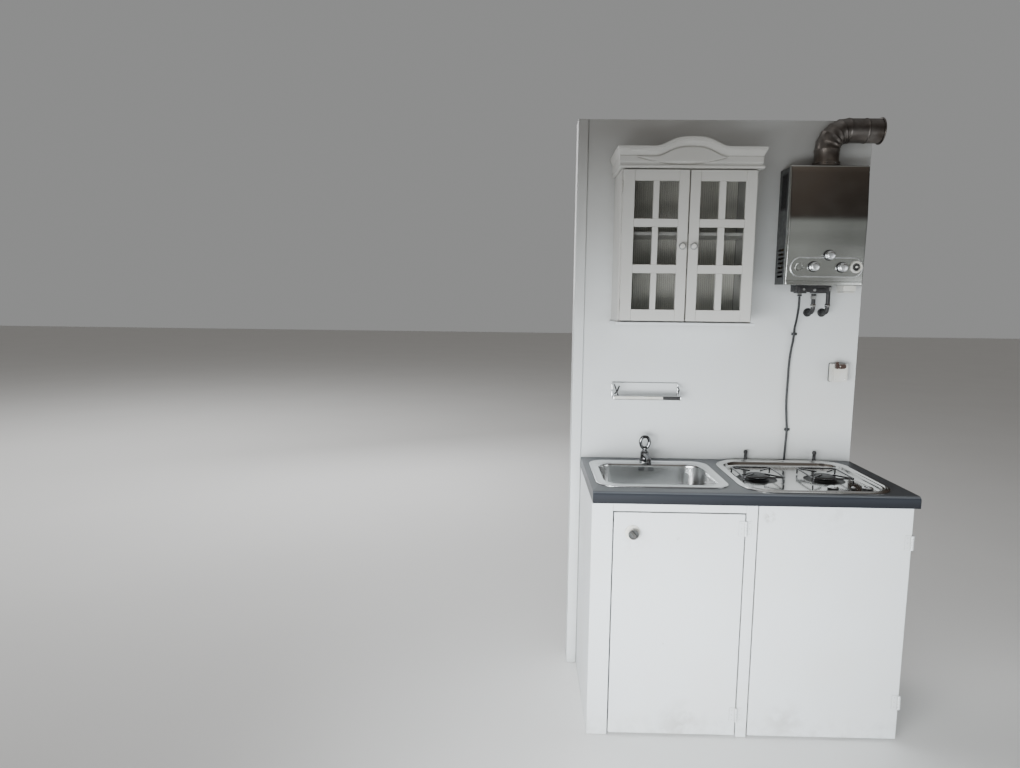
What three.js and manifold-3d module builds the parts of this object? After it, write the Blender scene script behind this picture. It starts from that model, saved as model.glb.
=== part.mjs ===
// Galley module of a houseboat: a bulkhead panel that carries a base unit with sink and hob,
// a glazed wall cabinet and a gas water heater. Millimetres, +Z up.
// The origin is at floor level, in the middle of the bulkhead's width and of its thickness.
import * as THREE from 'three';
import { mergeVertices } from 'three/addons/utils/BufferGeometryUtils.js';
import Module from 'manifold-3d';

const wasm = await Module();
wasm.setup();

// Places are given as x, the distance from the bulkhead's left end, d, the distance out of the
// wall's front face towards the room, and z, the height above the floor.
const touch = 0.3;
const doorGap = 5;

const bulkhead = { width: 1080, height: 2200, lining: 12, frame: 45, boards: 15, stud: 45 };
const post = { width: 40, proud: 6 };
const board = 18;
const base = { left: 1, right: 1079, front: 489, height: 840, floor: 40, bearer: 24 };
const stile = { leftEnd: 72, centreStart: 520, centreEnd: 557, railFoot: 807 };
const leftDoor = { left: 76, right: 516, foot: 8, head: 803 };
const rightDoor = { left: 561, right: 1074, foot: 8, head: 835 };
const pinProud = 5;
const leftPin = { x: 518, proud: pinProud, spans: [[60, 110], [728, 780]] };
const rightPin = { x: 1073, proud: pinProud, spans: [[120, 170], [690, 740]] };
const latch = { x: 140, z: 733, radius: 18, plate: 26, proud: 26 };
const worktop = { right: 1081, front: 514, foot: 840, head: 880, nosing: 14 };
const sink = { left: 22, right: 482, back: 62, front: 451, corner: 62, rim: 4, sheet: 2 };
const bowl = { left: 55, right: 450, back: 112, front: 417, corner: 60, floor: 732 };
const tap = { x: 247, d: 59, seat: 24, ring: 20, barrel: 16.5, top: 923, reach: 104, loopWidth: 47, loopHead: 984 };
const hob = { left: 516, right: 1030, back: 20, front: 495, corner: 105, sheet: 2, pan: 866, bead: 888 };
const burners = [{ side: 'left', x: 628, d: 250 }, { side: 'right', x: 874, d: 250 }];
const hobStrip = { left: 804, right: 971, back: 402, front: 448 };
const hobKnobs = [{ x: 829, radius: 19.5 }, { x: 899, radius: 9 }, { x: 947, radius: 19.5 }];
const lidPegs = [{ side: 'left', x: 655, d: 25.4 }, { side: 'right', x: 927, d: 25.4 }];
const cabinet = { left: 106, right: 596, foot: 1434, head: 1982, front: 208, panel: 15, door: 18 };
const cabinetDoors = [
  { side: 'left', left: 112, right: 346.5, columns: [[152, 220], [240, 311]], knob: 327, axis: 108.5 },
  { side: 'right', left: 351.5, right: 587, columns: [[387, 455], [478, 549]], knob: 368, axis: 590.5 },
];
const paneRows = [[1480, 1612], [1642, 1777], [1805, 1939]];
const shelves = [{ level: 'lower', z: 1620 }, { level: 'upper', z: 1750 }];
const cornice = { left: 86, right: 610, foot: 1992, head: 2053, front: 235 };
const arch = { left: 218, right: 478, rise: 33, fullness: 1.5 };
const heater = {
  left: 737, right: 1027, foot: 1577, head: 2014, crease: 1822, lip: 116, ridge: 125, crown: 113,
};
const heaterCase = { inset: 3, depth: 100, sheet: 2 };
const caseSlots = { count: 7, foot: 1606, pitch: 16.5, height: 8, back: 24, front: 78 };
const heaterCore = { sideGap: 16, front: 68, foot: 1640, head: 1960 };
const heaterPlate = { left: 754, right: 1020, foot: 1609, head: 1679 };
const heaterKnobs = [{ x: 838, z: 1646 }, { x: 893, z: 1688 }, { x: 943, z: 1644 }];
const gauge = { x: 996, z: 1646, radius: 23 };
const valve = { left: 790, right: 918, back: 34, front: 92, foot: 1546 };
const batteryBox = { left: 966, right: 1014, back: 30, front: 96, foot: 1550 };
const gasOutlet = { x: 815, d: 66, foot: 1536 };
const gasCock = { x: 814, d: 22, foot: 636, head: 690 };
const flue = { x: 887, d: 56, radius: 44, wall: 2, axisHeight: 2150, bend: 72, end: 1080 };
const waterPipes = [{ name: 'pipe_cold', x: 875, head: 1545.7 }, { name: 'pipe_hot', x: 930, head: 1579.7 }];
const pipeRun = { d: 50, wallHeight: 1474, radius: 8 };
const hose = { radius: 4.3, sides: 8, steps: 48 };
const hoseClips = [{ place: 'upper', x: 824, z: 1389 }, { place: 'lower', x: 818, z: 1007 }];
const rack = { left: 115, right: 382, depth: 66, foot: 1126, head: 1190, wire: 4 };
const socket = { left: 971, right: 1034, foot: 1202, head: 1277, depth: 36 };

const wallFace = -(bulkhead.lining + bulkhead.frame + bulkhead.boards) / 2;
const alongX = (x) => x - bulkhead.width / 2;
const outY = (d) => wallFace - d;
const at = (x, d, z) => new THREE.Vector3(alongX(x), outY(d), z);

const finish = {
  wallPaint: new THREE.MeshStandardMaterial({ color: 0xdfe3e4, roughness: 0.55, metalness: 0 }),
  unitPaint: new THREE.MeshStandardMaterial({ color: 0xe6ebee, roughness: 0.42, metalness: 0 }),
  rawPine: new THREE.MeshStandardMaterial({ color: 0xc9a878, roughness: 0.75, metalness: 0 }),
  worktop: new THREE.MeshStandardMaterial({ color: 0x6b7078, roughness: 0.4, metalness: 0 }),
  steel: new THREE.MeshStandardMaterial({ color: 0xb7b9b8, roughness: 0.3, metalness: 1 }),
  chrome: new THREE.MeshStandardMaterial({ color: 0xd6d8da, roughness: 0.12, metalness: 1 }),
  darkCase: new THREE.MeshStandardMaterial({ color: 0x3f4040, roughness: 0.5, metalness: 0.4 }),
  flueMetal: new THREE.MeshStandardMaterial({ color: 0x77736c, roughness: 0.45, metalness: 0.9 }),
  blackIron: new THREE.MeshStandardMaterial({ color: 0x1d1d1e, roughness: 0.6, metalness: 0.3 }),
  blackRubber: new THREE.MeshStandardMaterial({ color: 0x17181a, roughness: 0.6, metalness: 0 }),
  brass: new THREE.MeshStandardMaterial({ color: 0xb08d4a, roughness: 0.35, metalness: 1 }),
  glass: new THREE.MeshStandardMaterial({
    color: 0xdfe8ea, roughness: 0.05, metalness: 0, transparent: true, opacity: 0.3,
  }),
  whitePlastic: new THREE.MeshStandardMaterial({ color: 0xe2e1db, roughness: 0.4, metalness: 0 }),
};

const galley = new THREE.Group();

function add(name, geometry, material) {
  const mesh = new THREE.Mesh(geometry, material);
  mesh.name = name;
  galley.add(mesh);
}

// Shape helpers
function block(x0, x1, d0, d1, z0, z1) {
  const box = new THREE.BoxGeometry(x1 - x0, d1 - d0, z1 - z0);
  return box.translate(alongX((x0 + x1) / 2), outY((d0 + d1) / 2), (z0 + z1) / 2);
}

// An outline drawn in x and z, standing between two distances from the wall
function standing(outline, d0, d1, arcSteps = 5) {
  const settings = { depth: d1 - d0, bevelEnabled: false, curveSegments: arcSteps };
  const panel = new THREE.ExtrudeGeometry(outline, settings);
  return panel.rotateX(Math.PI / 2).translate(alongX(0), outY(d0), 0);
}

// An outline drawn in plan, lying between two heights
function lying(outline, z0, z1, arcSteps = 5) {
  const settings = { depth: z1 - z0, bevelEnabled: false, curveSegments: arcSteps };
  return new THREE.ExtrudeGeometry(outline, settings).translate(0, 0, z0);
}

// A section given as [d, z] pairs, running along the wall
const sectionToWall = new THREE.Matrix4().makeBasis(
  new THREE.Vector3(0, 1, 0),
  new THREE.Vector3(0, 0, 1),
  new THREE.Vector3(1, 0, 0),
);

function running(section, x0, x1) {
  const outline = new THREE.Shape(section.map(([d, z]) => new THREE.Vector2(outY(d), z)));
  const bar = new THREE.ExtrudeGeometry(outline, { depth: x1 - x0, bevelEnabled: false });
  return bar.applyMatrix4(sectionToWall).translate(alongX(x0), 0, 0);
}

// A profile of [radius, height] pairs from the lower end to the upper one, about a vertical axis
function turned(profile, x, d, z, sides = 20) {
  const points = profile.map(([radius, height]) => new THREE.Vector2(radius, height));
  const body = new THREE.LatheGeometry(points, sides);
  return body.rotateX(Math.PI / 2).translate(alongX(x), outY(d), z);
}

// The same, about an axis that points out of the wall
function turnedOut(profile, x, d, z, sides = 20) {
  const points = profile.map(([radius, height]) => new THREE.Vector2(radius, height));
  return new THREE.LatheGeometry(points, sides).rotateX(Math.PI).translate(alongX(x), outY(d), z);
}

function tube(path, radius, sides, steps) {
  const corner = (_, i) => {
    const angle = (2 * Math.PI * i) / sides;
    return new THREE.Vector2(radius * Math.cos(angle), radius * Math.sin(angle));
  };
  const section = new THREE.Shape(Array.from({ length: sides }, corner));
  return new THREE.ExtrudeGeometry(section, { steps, extrudePath: path });
}

function rounded(left, right, low, high, radius, outline = new THREE.Shape()) {
  const quarter = Math.PI / 2;
  outline.moveTo(left + radius, low);
  outline.lineTo(right - radius, low);
  outline.absarc(right - radius, low + radius, radius, -quarter, 0, false);
  outline.lineTo(right, high - radius);
  outline.absarc(right - radius, high - radius, radius, 0, quarter, false);
  outline.lineTo(left + radius, high);
  outline.absarc(left + radius, high - radius, radius, quarter, 2 * quarter, false);
  outline.lineTo(left, low + radius);
  outline.absarc(left + radius, low + radius, radius, 2 * quarter, 3 * quarter, false);
  return outline;
}

// A rounded rectangle in plan, drawn in by an inset on every side
function planOutline({ left, right, back, front, corner }, inset = 0) {
  const low = outY(front - inset);
  const high = outY(back + inset);
  return rounded(alongX(left + inset), alongX(right - inset), low, high, corner - inset);
}

function toSolid(geometry) {
  geometry.deleteAttribute('normal');
  geometry.deleteAttribute('uv');
  const merged = mergeVertices(geometry, 1e-4);
  const vertProperties = new Float32Array(merged.attributes.position.array);
  const triVerts = new Uint32Array(merged.index.array);
  return new wasm.Manifold(new wasm.Mesh({ numProp: 3, vertProperties, triVerts }));
}

function toGeometry(solid) {
  const mesh = solid.getMesh();
  const geometry = new THREE.BufferGeometry();
  geometry.setAttribute('position', new THREE.BufferAttribute(mesh.vertProperties, 3));
  geometry.setIndex(new THREE.BufferAttribute(mesh.triVerts, 1));
  return geometry;
}

function join(...pieces) {
  return toGeometry(pieces.map(toSolid).reduce((whole, piece) => whole.add(piece)));
}

function cut(whole, ...tools) {
  return toGeometry(tools.map(toSolid).reduce((left, tool) => left.subtract(tool), toSolid(whole)));
}

// Bulkhead: lining towards the galley, stud frame, grooved boards behind, and an end post
function buildBulkhead() {
  const { width, height, lining, frame, boards, stud } = bulkhead;
  add('bulkhead_lining', block(0, width, -lining, 0, 0, height), finish.wallPaint);

  const frameBack = -lining - frame;
  const columns = [[stud, (width - stud) / 2], [(width + stud) / 2, width - stud]];
  const rows = [[stud, 840], [840 + stud, 1560], [1560 + stud, height - stud]];
  const whole = block(0, width, frameBack, -lining - touch, 0, height);
  const bays = columns.flatMap(([x0, x1]) => rows.map(([z0, z1]) => (
    block(x0, x1, frameBack - 1, 1 - lining, z0, z1)
  )));
  add('bulkhead_frame', cut(whole, ...bays), finish.rawPine);

  const boardCount = 16;
  const pitch = height / boardCount;
  const groove = 5;
  const boardFace = frameBack - boards;
  const section = [[frameBack - touch, 0], [frameBack - touch, height], [boardFace, height]];
  for (let i = boardCount - 1; i > 0; i -= 1) {
    section.push([boardFace, i * pitch + groove]);
    section.push([boardFace + groove, i * pitch]);
    section.push([boardFace, i * pitch - groove]);
  }
  section.push([boardFace, 0]);
  add('bulkhead_boards', running(section, 0, width), finish.wallPaint);

  const postBack = boardFace - post.proud;
  add('bulkhead_end_post', block(-post.width, -touch, postBack, post.proud, 0, height), finish.wallPaint);
}

// Base unit: side panels, floor on bearers, divider, shelf, face frame and two doors
function buildBase() {
  const { left, right, front, height, floor, bearer } = base;
  const back = front - board;
  const top = height - touch;
  const divider = { left: 530, right: 530 + board };
  const carcassFront = back - doorGap;
  const inner = { left: left + board + touch, right: right - board - touch };

  add('base_side_left', block(left, left + board, touch, back - touch, 0, top), finish.unitPaint);
  const leaves = rightPin.spans.map(([z0, z1]) => (
    block(right - 1.5, right, carcassFront - 20, front + pinProud, z0, z1)
  ));
  const sideRight = block(right - board, right, touch, carcassFront, 0, top);
  add('base_side_right', join(sideRight, ...leaves), finish.unitPaint);

  const floorFront = carcassFront - 2;
  const floorSection = [
    [20, 0], [60, 0], [60, bearer], [floorFront - 40, bearer], [floorFront - 40, 0], [floorFront, 0],
    [floorFront, floor], [20, floor],
  ];
  add('base_floor', running(floorSection, inner.left, inner.right), finish.unitPaint);
  const divided = block(divider.left, divider.right, 20, back - touch, floor + touch, top);
  add('base_divider', divided, finish.unitPaint);
  const shelf = { left: divider.right + touch, back: 24, front: 400, foot: 400 };
  const shelfBoard = block(shelf.left, inner.right, shelf.back, shelf.front, shelf.foot, shelf.foot + board);
  add('base_shelf', shelfBoard, finish.unitPaint);

  const backTouch = back + touch;
  add('stile_left', block(left, stile.leftEnd, back, front, 0, top), finish.unitPaint);
  const railLeft = stile.leftEnd + touch;
  const railRight = stile.centreStart - touch;
  add('rail_top', block(railLeft, railRight, back, front, stile.railFoot, top), finish.unitPaint);

  const centre = block(stile.centreStart, stile.centreEnd, backTouch, front, 0, top);
  const fixedLeaf = ([z0, z1]) => (
    block(leftPin.x + 5, leftPin.x + 20, front - 1, front + 1.5, z0, z1)
  );
  add('stile_centre', join(centre, ...leftPin.spans.map(fixedLeaf)), finish.unitPaint);
  add('base_door_left_panel', hungDoor(leftDoor, leftPin), finish.unitPaint);
  add('base_door_right_panel', hungDoor(rightDoor, rightPin), finish.unitPaint);

  const { radius, plate, proud } = latch;
  const latchProfile = [
    [0, 0], [plate, 0], [plate, 3], [11, 5], [9, 12],
    [radius, 18], [radius, proud - 3], [radius - 4, proud], [0, proud],
  ];
  add('base_door_left_latch', turnedOut(latchProfile, latch.x, front + touch, latch.z), finish.chrome);
}

// A door panel with the knuckles and leaves of its two butt hinges
function hungDoor({ left, right, foot, head }, pin) {
  const { front } = base;
  const radius = 4;
  const panel = block(left, right, front - board, front, foot, head);
  const hinges = pin.spans.flatMap(([z0, z1]) => [
    block(pin.x - 22, pin.x, front - 1, front + 2.5, z0, z1),
    turned([[0, 0], [radius, 0], [radius, z1 - z0], [0, z1 - z0]], pin.x, front + pin.proud, z0, 12),
  ]);
  return join(panel, ...hinges);
}

// Worktop with a round nosing, cut out for the bowl, the hob and the hose
function buildWorktop() {
  const { right, front, foot, head, nosing } = worktop;
  const section = [[touch, foot], [front, foot], [front, head - nosing]];
  const arcSteps = 5;
  for (let i = 1; i < arcSteps; i += 1) {
    const angle = (Math.PI / 2) * (i / arcSteps);
    section.push([front - nosing + nosing * Math.cos(angle), head - nosing + nosing * Math.sin(angle)]);
  }
  section.push([front - nosing, head], [touch, head]);
  const slab = running(section, 0, right);
  const under = foot - 1;
  const over = head + 1;
  const bowlHole = lying(planOutline(bowl, -3), under, over);
  const hobHole = lying(planOutline(hob, 24), under, over);
  const hole = (radius, x, d) => (
    turned([[0, 0], [radius, 0], [radius, over - under], [0, over - under]], x, d, under, 16)
  );
  const hoseHole = hole(8, gasCock.x, 11);
  const tapHole = hole(16, tap.x, tap.d);
  add('worktop', cut(slab, bowlHole, hobHole, hoseHole, tapHole), finish.worktop);
}

// Sink with a bowl of thin sheet, its waste and its trap
function buildSink() {
  const rimFoot = worktop.head + touch;
  const rimHead = worktop.head + sink.rim;
  const flange = lying(planOutline(sink), rimFoot, rimHead);
  const shell = lying(planOutline(bowl), bowl.floor - sink.sheet, rimHead);
  const hollow = lying(planOutline(bowl, sink.sheet), bowl.floor, rimHead + 1);
  const drain = { x: (bowl.left + bowl.right) / 2, d: (bowl.back + bowl.front) / 2, radius: 24 };
  const drainProfile = [[0, -5], [drain.radius, -5], [drain.radius, 5], [0, 5]];
  const drainHole = turned(drainProfile, drain.x, drain.d, bowl.floor);
  const seatHeight = sink.rim - touch;
  const seat = turned([[0, 0], [tap.seat, 0], [tap.seat, seatHeight], [0, seatHeight]], tap.x, tap.d, rimFoot);
  add('sink', cut(join(flange, shell, seat), hollow, drainHole), finish.steel);

  const underBowl = -sink.sheet - touch;
  const wasteDrop = 92;
  const waste = [
    [0, -wasteDrop], [16, -wasteDrop], [16, -34], [34, -34], [34, underBowl], [drain.radius - 1, underBowl],
    [drain.radius - 1, touch], [42, touch], [42, 3], [0, 3],
  ];
  add('sink_waste', turned(waste, drain.x, drain.d, bowl.floor), finish.chrome);

  const trapHead = bowl.floor - wasteDrop - touch;
  const bottleProfile = [[0, -82], [24, -82], [30, -74], [30, -10], [20, 0], [0, 0]];
  const bottle = turned(bottleProfile, drain.x, drain.d, trapHead);
  const outlet = trapHead - 34;
  const outletPath = new THREE.LineCurve3(at(drain.x, drain.d, outlet), at(drain.x, touch, outlet));
  add('sink_trap', join(bottle, tube(outletPath, 16, 16, 1)), finish.whitePlastic);
}

// Single-lever tap: base ring, barrel and short spout, with a looped lever on top
function buildTap() {
  const foot = worktop.head + sink.rim + touch;
  const rise = tap.top - foot;
  const barrel = turned([
    [0, 0], [tap.ring, 0], [tap.ring, 4], [tap.barrel, 8],
    [tap.barrel, rise - 8], [tap.barrel - 5, rise], [0, rise],
  ], tap.x, tap.d, foot);
  const spoutPath = new THREE.CatmullRomCurve3([
    at(tap.x, tap.d, 902), at(tap.x, tap.d + 24, 910), at(tap.x, tap.d + 58, 915),
    at(tap.x, tap.d + 88, 912), at(tap.x, tap.d + tap.reach, 898),
  ]);
  add('tap_body', join(barrel, tube(spoutPath, 9, 12, 12)), finish.chrome);

  const stemHead = tap.top + 8;
  const stem = turned([[0, touch], [10, touch], [10, 5], [7, 9], [0, 9]], tap.x, tap.d, tap.top, 16);
  const half = tap.loopWidth / 2;
  const loop = new THREE.Shape();
  loop.moveTo(tap.x - 9, stemHead - 2);
  loop.lineTo(tap.x + 9, stemHead - 2);
  loop.quadraticCurveTo(tap.x + half, stemHead + 18, tap.x + half, tap.loopHead - 12);
  loop.quadraticCurveTo(tap.x + half - 1, tap.loopHead, tap.x, tap.loopHead);
  loop.quadraticCurveTo(tap.x - half + 1, tap.loopHead, tap.x - half, tap.loopHead - 12);
  loop.quadraticCurveTo(tap.x - half, stemHead + 18, tap.x - 9, stemHead - 2);
  const window = rounded(tap.x - 11, tap.x + 11, stemHead + 12, tap.loopHead - 9, 10, new THREE.Path());
  loop.holes.push(window);
  add('tap_lever', join(stem, standing(loop, tap.d - 4, tap.d + 4, 5)), finish.chrome);
}

// Hob: pressed tray with a bead, box below it, burners, wire supports, controls and lid pegs
function buildHob() {
  const flangeFoot = worktop.head + touch;
  const flangeHead = worktop.head + 3.3;
  const flange = lying(planOutline(hob), flangeFoot, flangeHead);
  const bead = lying(planOutline(hob, 10), flangeFoot, hob.bead);
  const shell = lying(planOutline(hob, 26), hob.pan - hob.sheet, hob.bead);
  const hollow = lying(planOutline(hob, 28), hob.pan, hob.bead + 1);
  const dish = lying(planOutline(hob, 18), flangeHead, hob.bead + 1);
  add('hob_tray', cut(join(flange, bead, shell), hollow, dish), finish.steel);

  const boxOuter = lying(planOutline(hob, 40), 790, hob.pan - hob.sheet - touch);
  const boxInner = lying(planOutline(hob, 42), 792, hob.pan);
  add('hob_box', cut(boxOuter, boxInner), finish.steel);

  const panFloor = hob.pan + touch;
  const head = [[0, 0], [44, 0], [44, 3], [34, 5], [34, 11], [38, 12], [38, 15], [24, 19], [0, 19]];
  const supportTop = 893;
  const wire = 5;
  for (const { side, x, d } of burners) {
    add(`burner_${side}`, turned(head, x, d, panFloor), finish.blackIron);
    add(`pan_support_${side}`, wireSupport(x, d, panFloor, supportTop, wire), finish.chrome);
  }

  const stripMiddle = (hobStrip.back + hobStrip.front) / 2;
  const strip = block(
    hobStrip.left, hobStrip.right, hobStrip.back, hobStrip.front, panFloor, panFloor + 2,
  );
  const knob = ({ x, radius }) => {
    const profile = [[0, 1], [radius, 1], [radius, 16], [radius - 3, 22], [0, 22]];
    return turned(profile, x, stripMiddle, panFloor, 16);
  };
  add('hob_controls', join(strip, ...hobKnobs.map(knob)), finish.chrome);

  const pegProfile = [[0, 3], [4, 3], [4, 28], [8, 31], [8, 38], [4, 42], [0, 42]];
  for (const { side, x, d } of lidPegs) {
    const foot = flangeHead + touch;
    const bracket = block(x - 14, x + 14, d - 4.4, d + 4.3, foot, foot + 4);
    const peg = turned(pegProfile, x, d, foot, 12);
    add(`lid_peg_${side}`, join(bracket, peg), finish.blackIron);
  }
}

// A square loop of wire on four feet, with four fingers towards the burner
function wireSupport(x, d, foot, top, wire) {
  const half = { x: 76, d: 80 };
  const low = top - wire;
  const bar = (x0, x1, d0, d1) => block(x0, x1, d0, d1, low, top);
  const pieces = [
    bar(x - half.x, x + half.x, d - half.d, d - half.d + wire),
    bar(x - half.x, x + half.x, d + half.d - wire, d + half.d),
    bar(x - half.x, x - half.x + wire, d - half.d, d + half.d),
    bar(x + half.x - wire, x + half.x, d - half.d, d + half.d),
  ];
  for (const sx of [-1, 1]) {
    for (const sd of [-1, 1]) {
      const corner = { x: x + sx * (half.x - wire / 2), d: d + sd * (half.d - wire / 2) };
      const inner = { x: x + sx * 20, d: d + sd * 23 };
      const reach = Math.hypot(corner.x - inner.x, corner.d - inner.d);
      const turn = Math.atan2(-(corner.d - inner.d), corner.x - inner.x);
      const finger = new THREE.BoxGeometry(reach, wire, wire).rotateZ(turn);
      const middle = at((corner.x + inner.x) / 2, (corner.d + inner.d) / 2, (low + top) / 2);
      pieces.push(finger.translate(middle.x, middle.y, middle.z));
      const footHalf = wire / 2;
      pieces.push(block(
        corner.x - footHalf, corner.x + footHalf, corner.d - footHalf, corner.d + footHalf, foot, top,
      ));
    }
  }
  return join(...pieces);
}

// Wall cabinet: carcass, shelves, arched cornice and two glazed doors
function buildCabinet() {
  const { left, right, foot, head, front, panel, door } = cabinet;
  const doorBack = front - door;
  const carcassFront = doorBack - doorGap;
  const inner = { left: left + panel + touch, right: right - panel - touch };
  const sideFoot = foot + touch;
  const sideHead = head - touch;
  const painted = (name, ...sides) => add(name, block(...sides), finish.unitPaint);
  painted('cabinet_side_left', left, left + panel, touch, carcassFront, sideFoot, sideHead);
  painted('cabinet_side_right', right - panel, right, touch, carcassFront, sideFoot, sideHead);
  painted('cabinet_bottom', left - 7, right + 7, touch, front + 6, foot - 10, foot);
  painted('cabinet_ledge', left - 12, right + 12, touch, front + 12, head, cornice.foot);
  const backFront = 5;
  painted('cabinet_back', inner.left, inner.right, touch, backFront, sideFoot, sideHead);
  const shelf = { back: backFront + touch, front: 174, thick: 12 };
  for (const { level, z } of shelves) {
    painted(`cabinet_shelf_${level}`, inner.left, inner.right, shelf.back, shelf.front, z, z + shelf.thick);
  }
  add('cabinet_cornice', corniceSolid(), finish.unitPaint);

  const frameFoot = foot + doorGap;
  const frameHead = head - doorGap;
  const glazingBead = 7;
  const glassInset = 1;
  const knobHeight = 1708;
  const hingeSpans = [[1475, 1515], [1900, 1940]];
  const hingeMiddle = 194;
  const knobProfile = [[0, 0], [8, 0], [7, 8], [12, 12], [12, 16], [8, 19], [0, 19]];
  const [lowest, , highest] = paneRows;
  for (const { side, left: doorLeft, right: doorRight, columns, knob, axis } of cabinetDoors) {
    const panes = columns.flatMap(([x0, x1]) => paneRows.map(([z0, z1]) => (
      block(x0, x1, doorBack - 1, front + 1, z0, z1)
    )));
    const glassLeft = columns[0][0] - glazingBead;
    const glassRight = columns[1][1] + glazingBead;
    const glassFoot = lowest[0] - glazingBead;
    const glassHead = highest[1] + glazingBead;
    const rebate = block(glassLeft, glassRight, doorBack - 1, doorBack + 9, glassFoot, glassHead);
    const doorEdge = side === 'left' ? doorLeft + 2 : doorRight - 2;
    const [leafLeft, leafRight] = [Math.min(axis, doorEdge), Math.max(axis, doorEdge)];
    const hardware = hingeSpans.flatMap(([z0, z1]) => [
      turned([[0, 0], [3, 0], [3, z1 - z0], [0, z1 - z0]], axis, hingeMiddle, z0, 10),
      block(leafLeft, leafRight, hingeMiddle - 1, hingeMiddle + 1, z0, z1),
    ]);
    const frame = cut(block(doorLeft, doorRight, doorBack, front, frameFoot, frameHead), rebate, ...panes);
    add(`cabinet_door_${side}_frame`, join(frame, ...hardware), finish.unitPaint);
    add(`cabinet_door_${side}_glass`, block(
      glassLeft + glassInset, glassRight - glassInset, doorBack + 5.5, doorBack + 8.5,
      glassFoot + glassInset, glassHead - glassInset,
    ), finish.glass);
    const pull = turnedOut(knobProfile, knob, front + touch, knobHeight, 14);
    add(`cabinet_door_${side}_knob`, pull, finish.whitePlastic);
  }
}

// Crown moulding whose top edge rises to an arch, with returns along both sides
function corniceSolid() {
  const { left, right, foot, head, front } = cornice;
  const low = foot + touch;
  const back = 190;
  // Each row: distance in from the front, flare in from the end, height, from foot or from top
  const moulding = [
    { fromFront: front - back, fromEnd: 10, z: 0, measuredFrom: 'foot' },
    { fromFront: 21, fromEnd: 10, z: 0, measuredFrom: 'foot' },
    { fromFront: 19, fromEnd: 9, z: 10, measuredFrom: 'foot' },
    { fromFront: 13, fromEnd: 6, z: -24, measuredFrom: 'top' },
    { fromFront: 4, fromEnd: 2, z: -12, measuredFrom: 'top' },
    { fromFront: 0, fromEnd: 0, z: -9, measuredFrom: 'top' },
    { fromFront: 0, fromEnd: 0, z: 0, measuredFrom: 'top' },
    { fromFront: front - back, fromEnd: 0, z: 0, measuredFrom: 'top' },
  ];
  const topAt = (x) => {
    const half = (arch.right - arch.left) / 2;
    const away = Math.abs(x - (arch.left + arch.right) / 2) / half;
    return away >= 1 ? head : head + (arch.rise * (1 + Math.cos(Math.PI * away ** arch.fullness))) / 2;
  };
  const archSteps = 24;
  const stations = [left];
  for (let i = 0; i <= archSteps; i += 1) {
    stations.push(arch.left + ((arch.right - arch.left) * i) / archSteps);
  }
  stations.push(right);
  const sections = stations.map((x) => moulding.map(({ fromFront, fromEnd, z, measuredFrom }) => {
    const height = measuredFrom === 'foot' ? low + z : topAt(x) + z;
    const flare = x === left ? fromEnd : x === right ? -fromEnd : 0;
    return at(x + flare, front - fromFront, height);
  }));
  const returnEdge = moulding.slice(1, -1);
  const returnThick = 26;
  const sideReturn = (edge, inward) => {
    const height = ({ z, measuredFrom }) => (measuredFrom === 'foot' ? low + z : head + z);
    const points = returnEdge.map((row) => new THREE.Vector2(edge + inward * row.fromEnd, height(row)));
    const inside = edge + inward * returnThick;
    points.push(new THREE.Vector2(inside, head), new THREE.Vector2(inside, low));
    return standing(new THREE.Shape(points), touch, back + 4);
  };
  return join(loft(sections), sideReturn(left, 1), sideReturn(right, -1));
}

// A closed skin over sections of equal count, each lying in a plane across the wall
function loft(sections) {
  const count = sections[0].length;
  const faces = [];
  for (let s = 0; s < sections.length - 1; s += 1) {
    for (let k = 0; k < count; k += 1) {
      const a = s * count + k;
      const b = s * count + ((k + 1) % count);
      faces.push(a, a + count, b, b, a + count, b + count);
    }
  }
  const flat = sections[0].map((p) => new THREE.Vector2(p.y, p.z));
  const last = (sections.length - 1) * count;
  for (const [a, b, c] of THREE.ShapeUtils.triangulateShape(flat, [])) {
    faces.push(a, c, b);
    faces.push(last + a, last + b, last + c);
  }
  const skin = new THREE.BufferGeometry();
  const places = sections.flat().flatMap((p) => p.toArray());
  skin.setAttribute('position', new THREE.Float32BufferAttribute(places, 3));
  skin.setIndex(faces);
  return skin;
}

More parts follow.
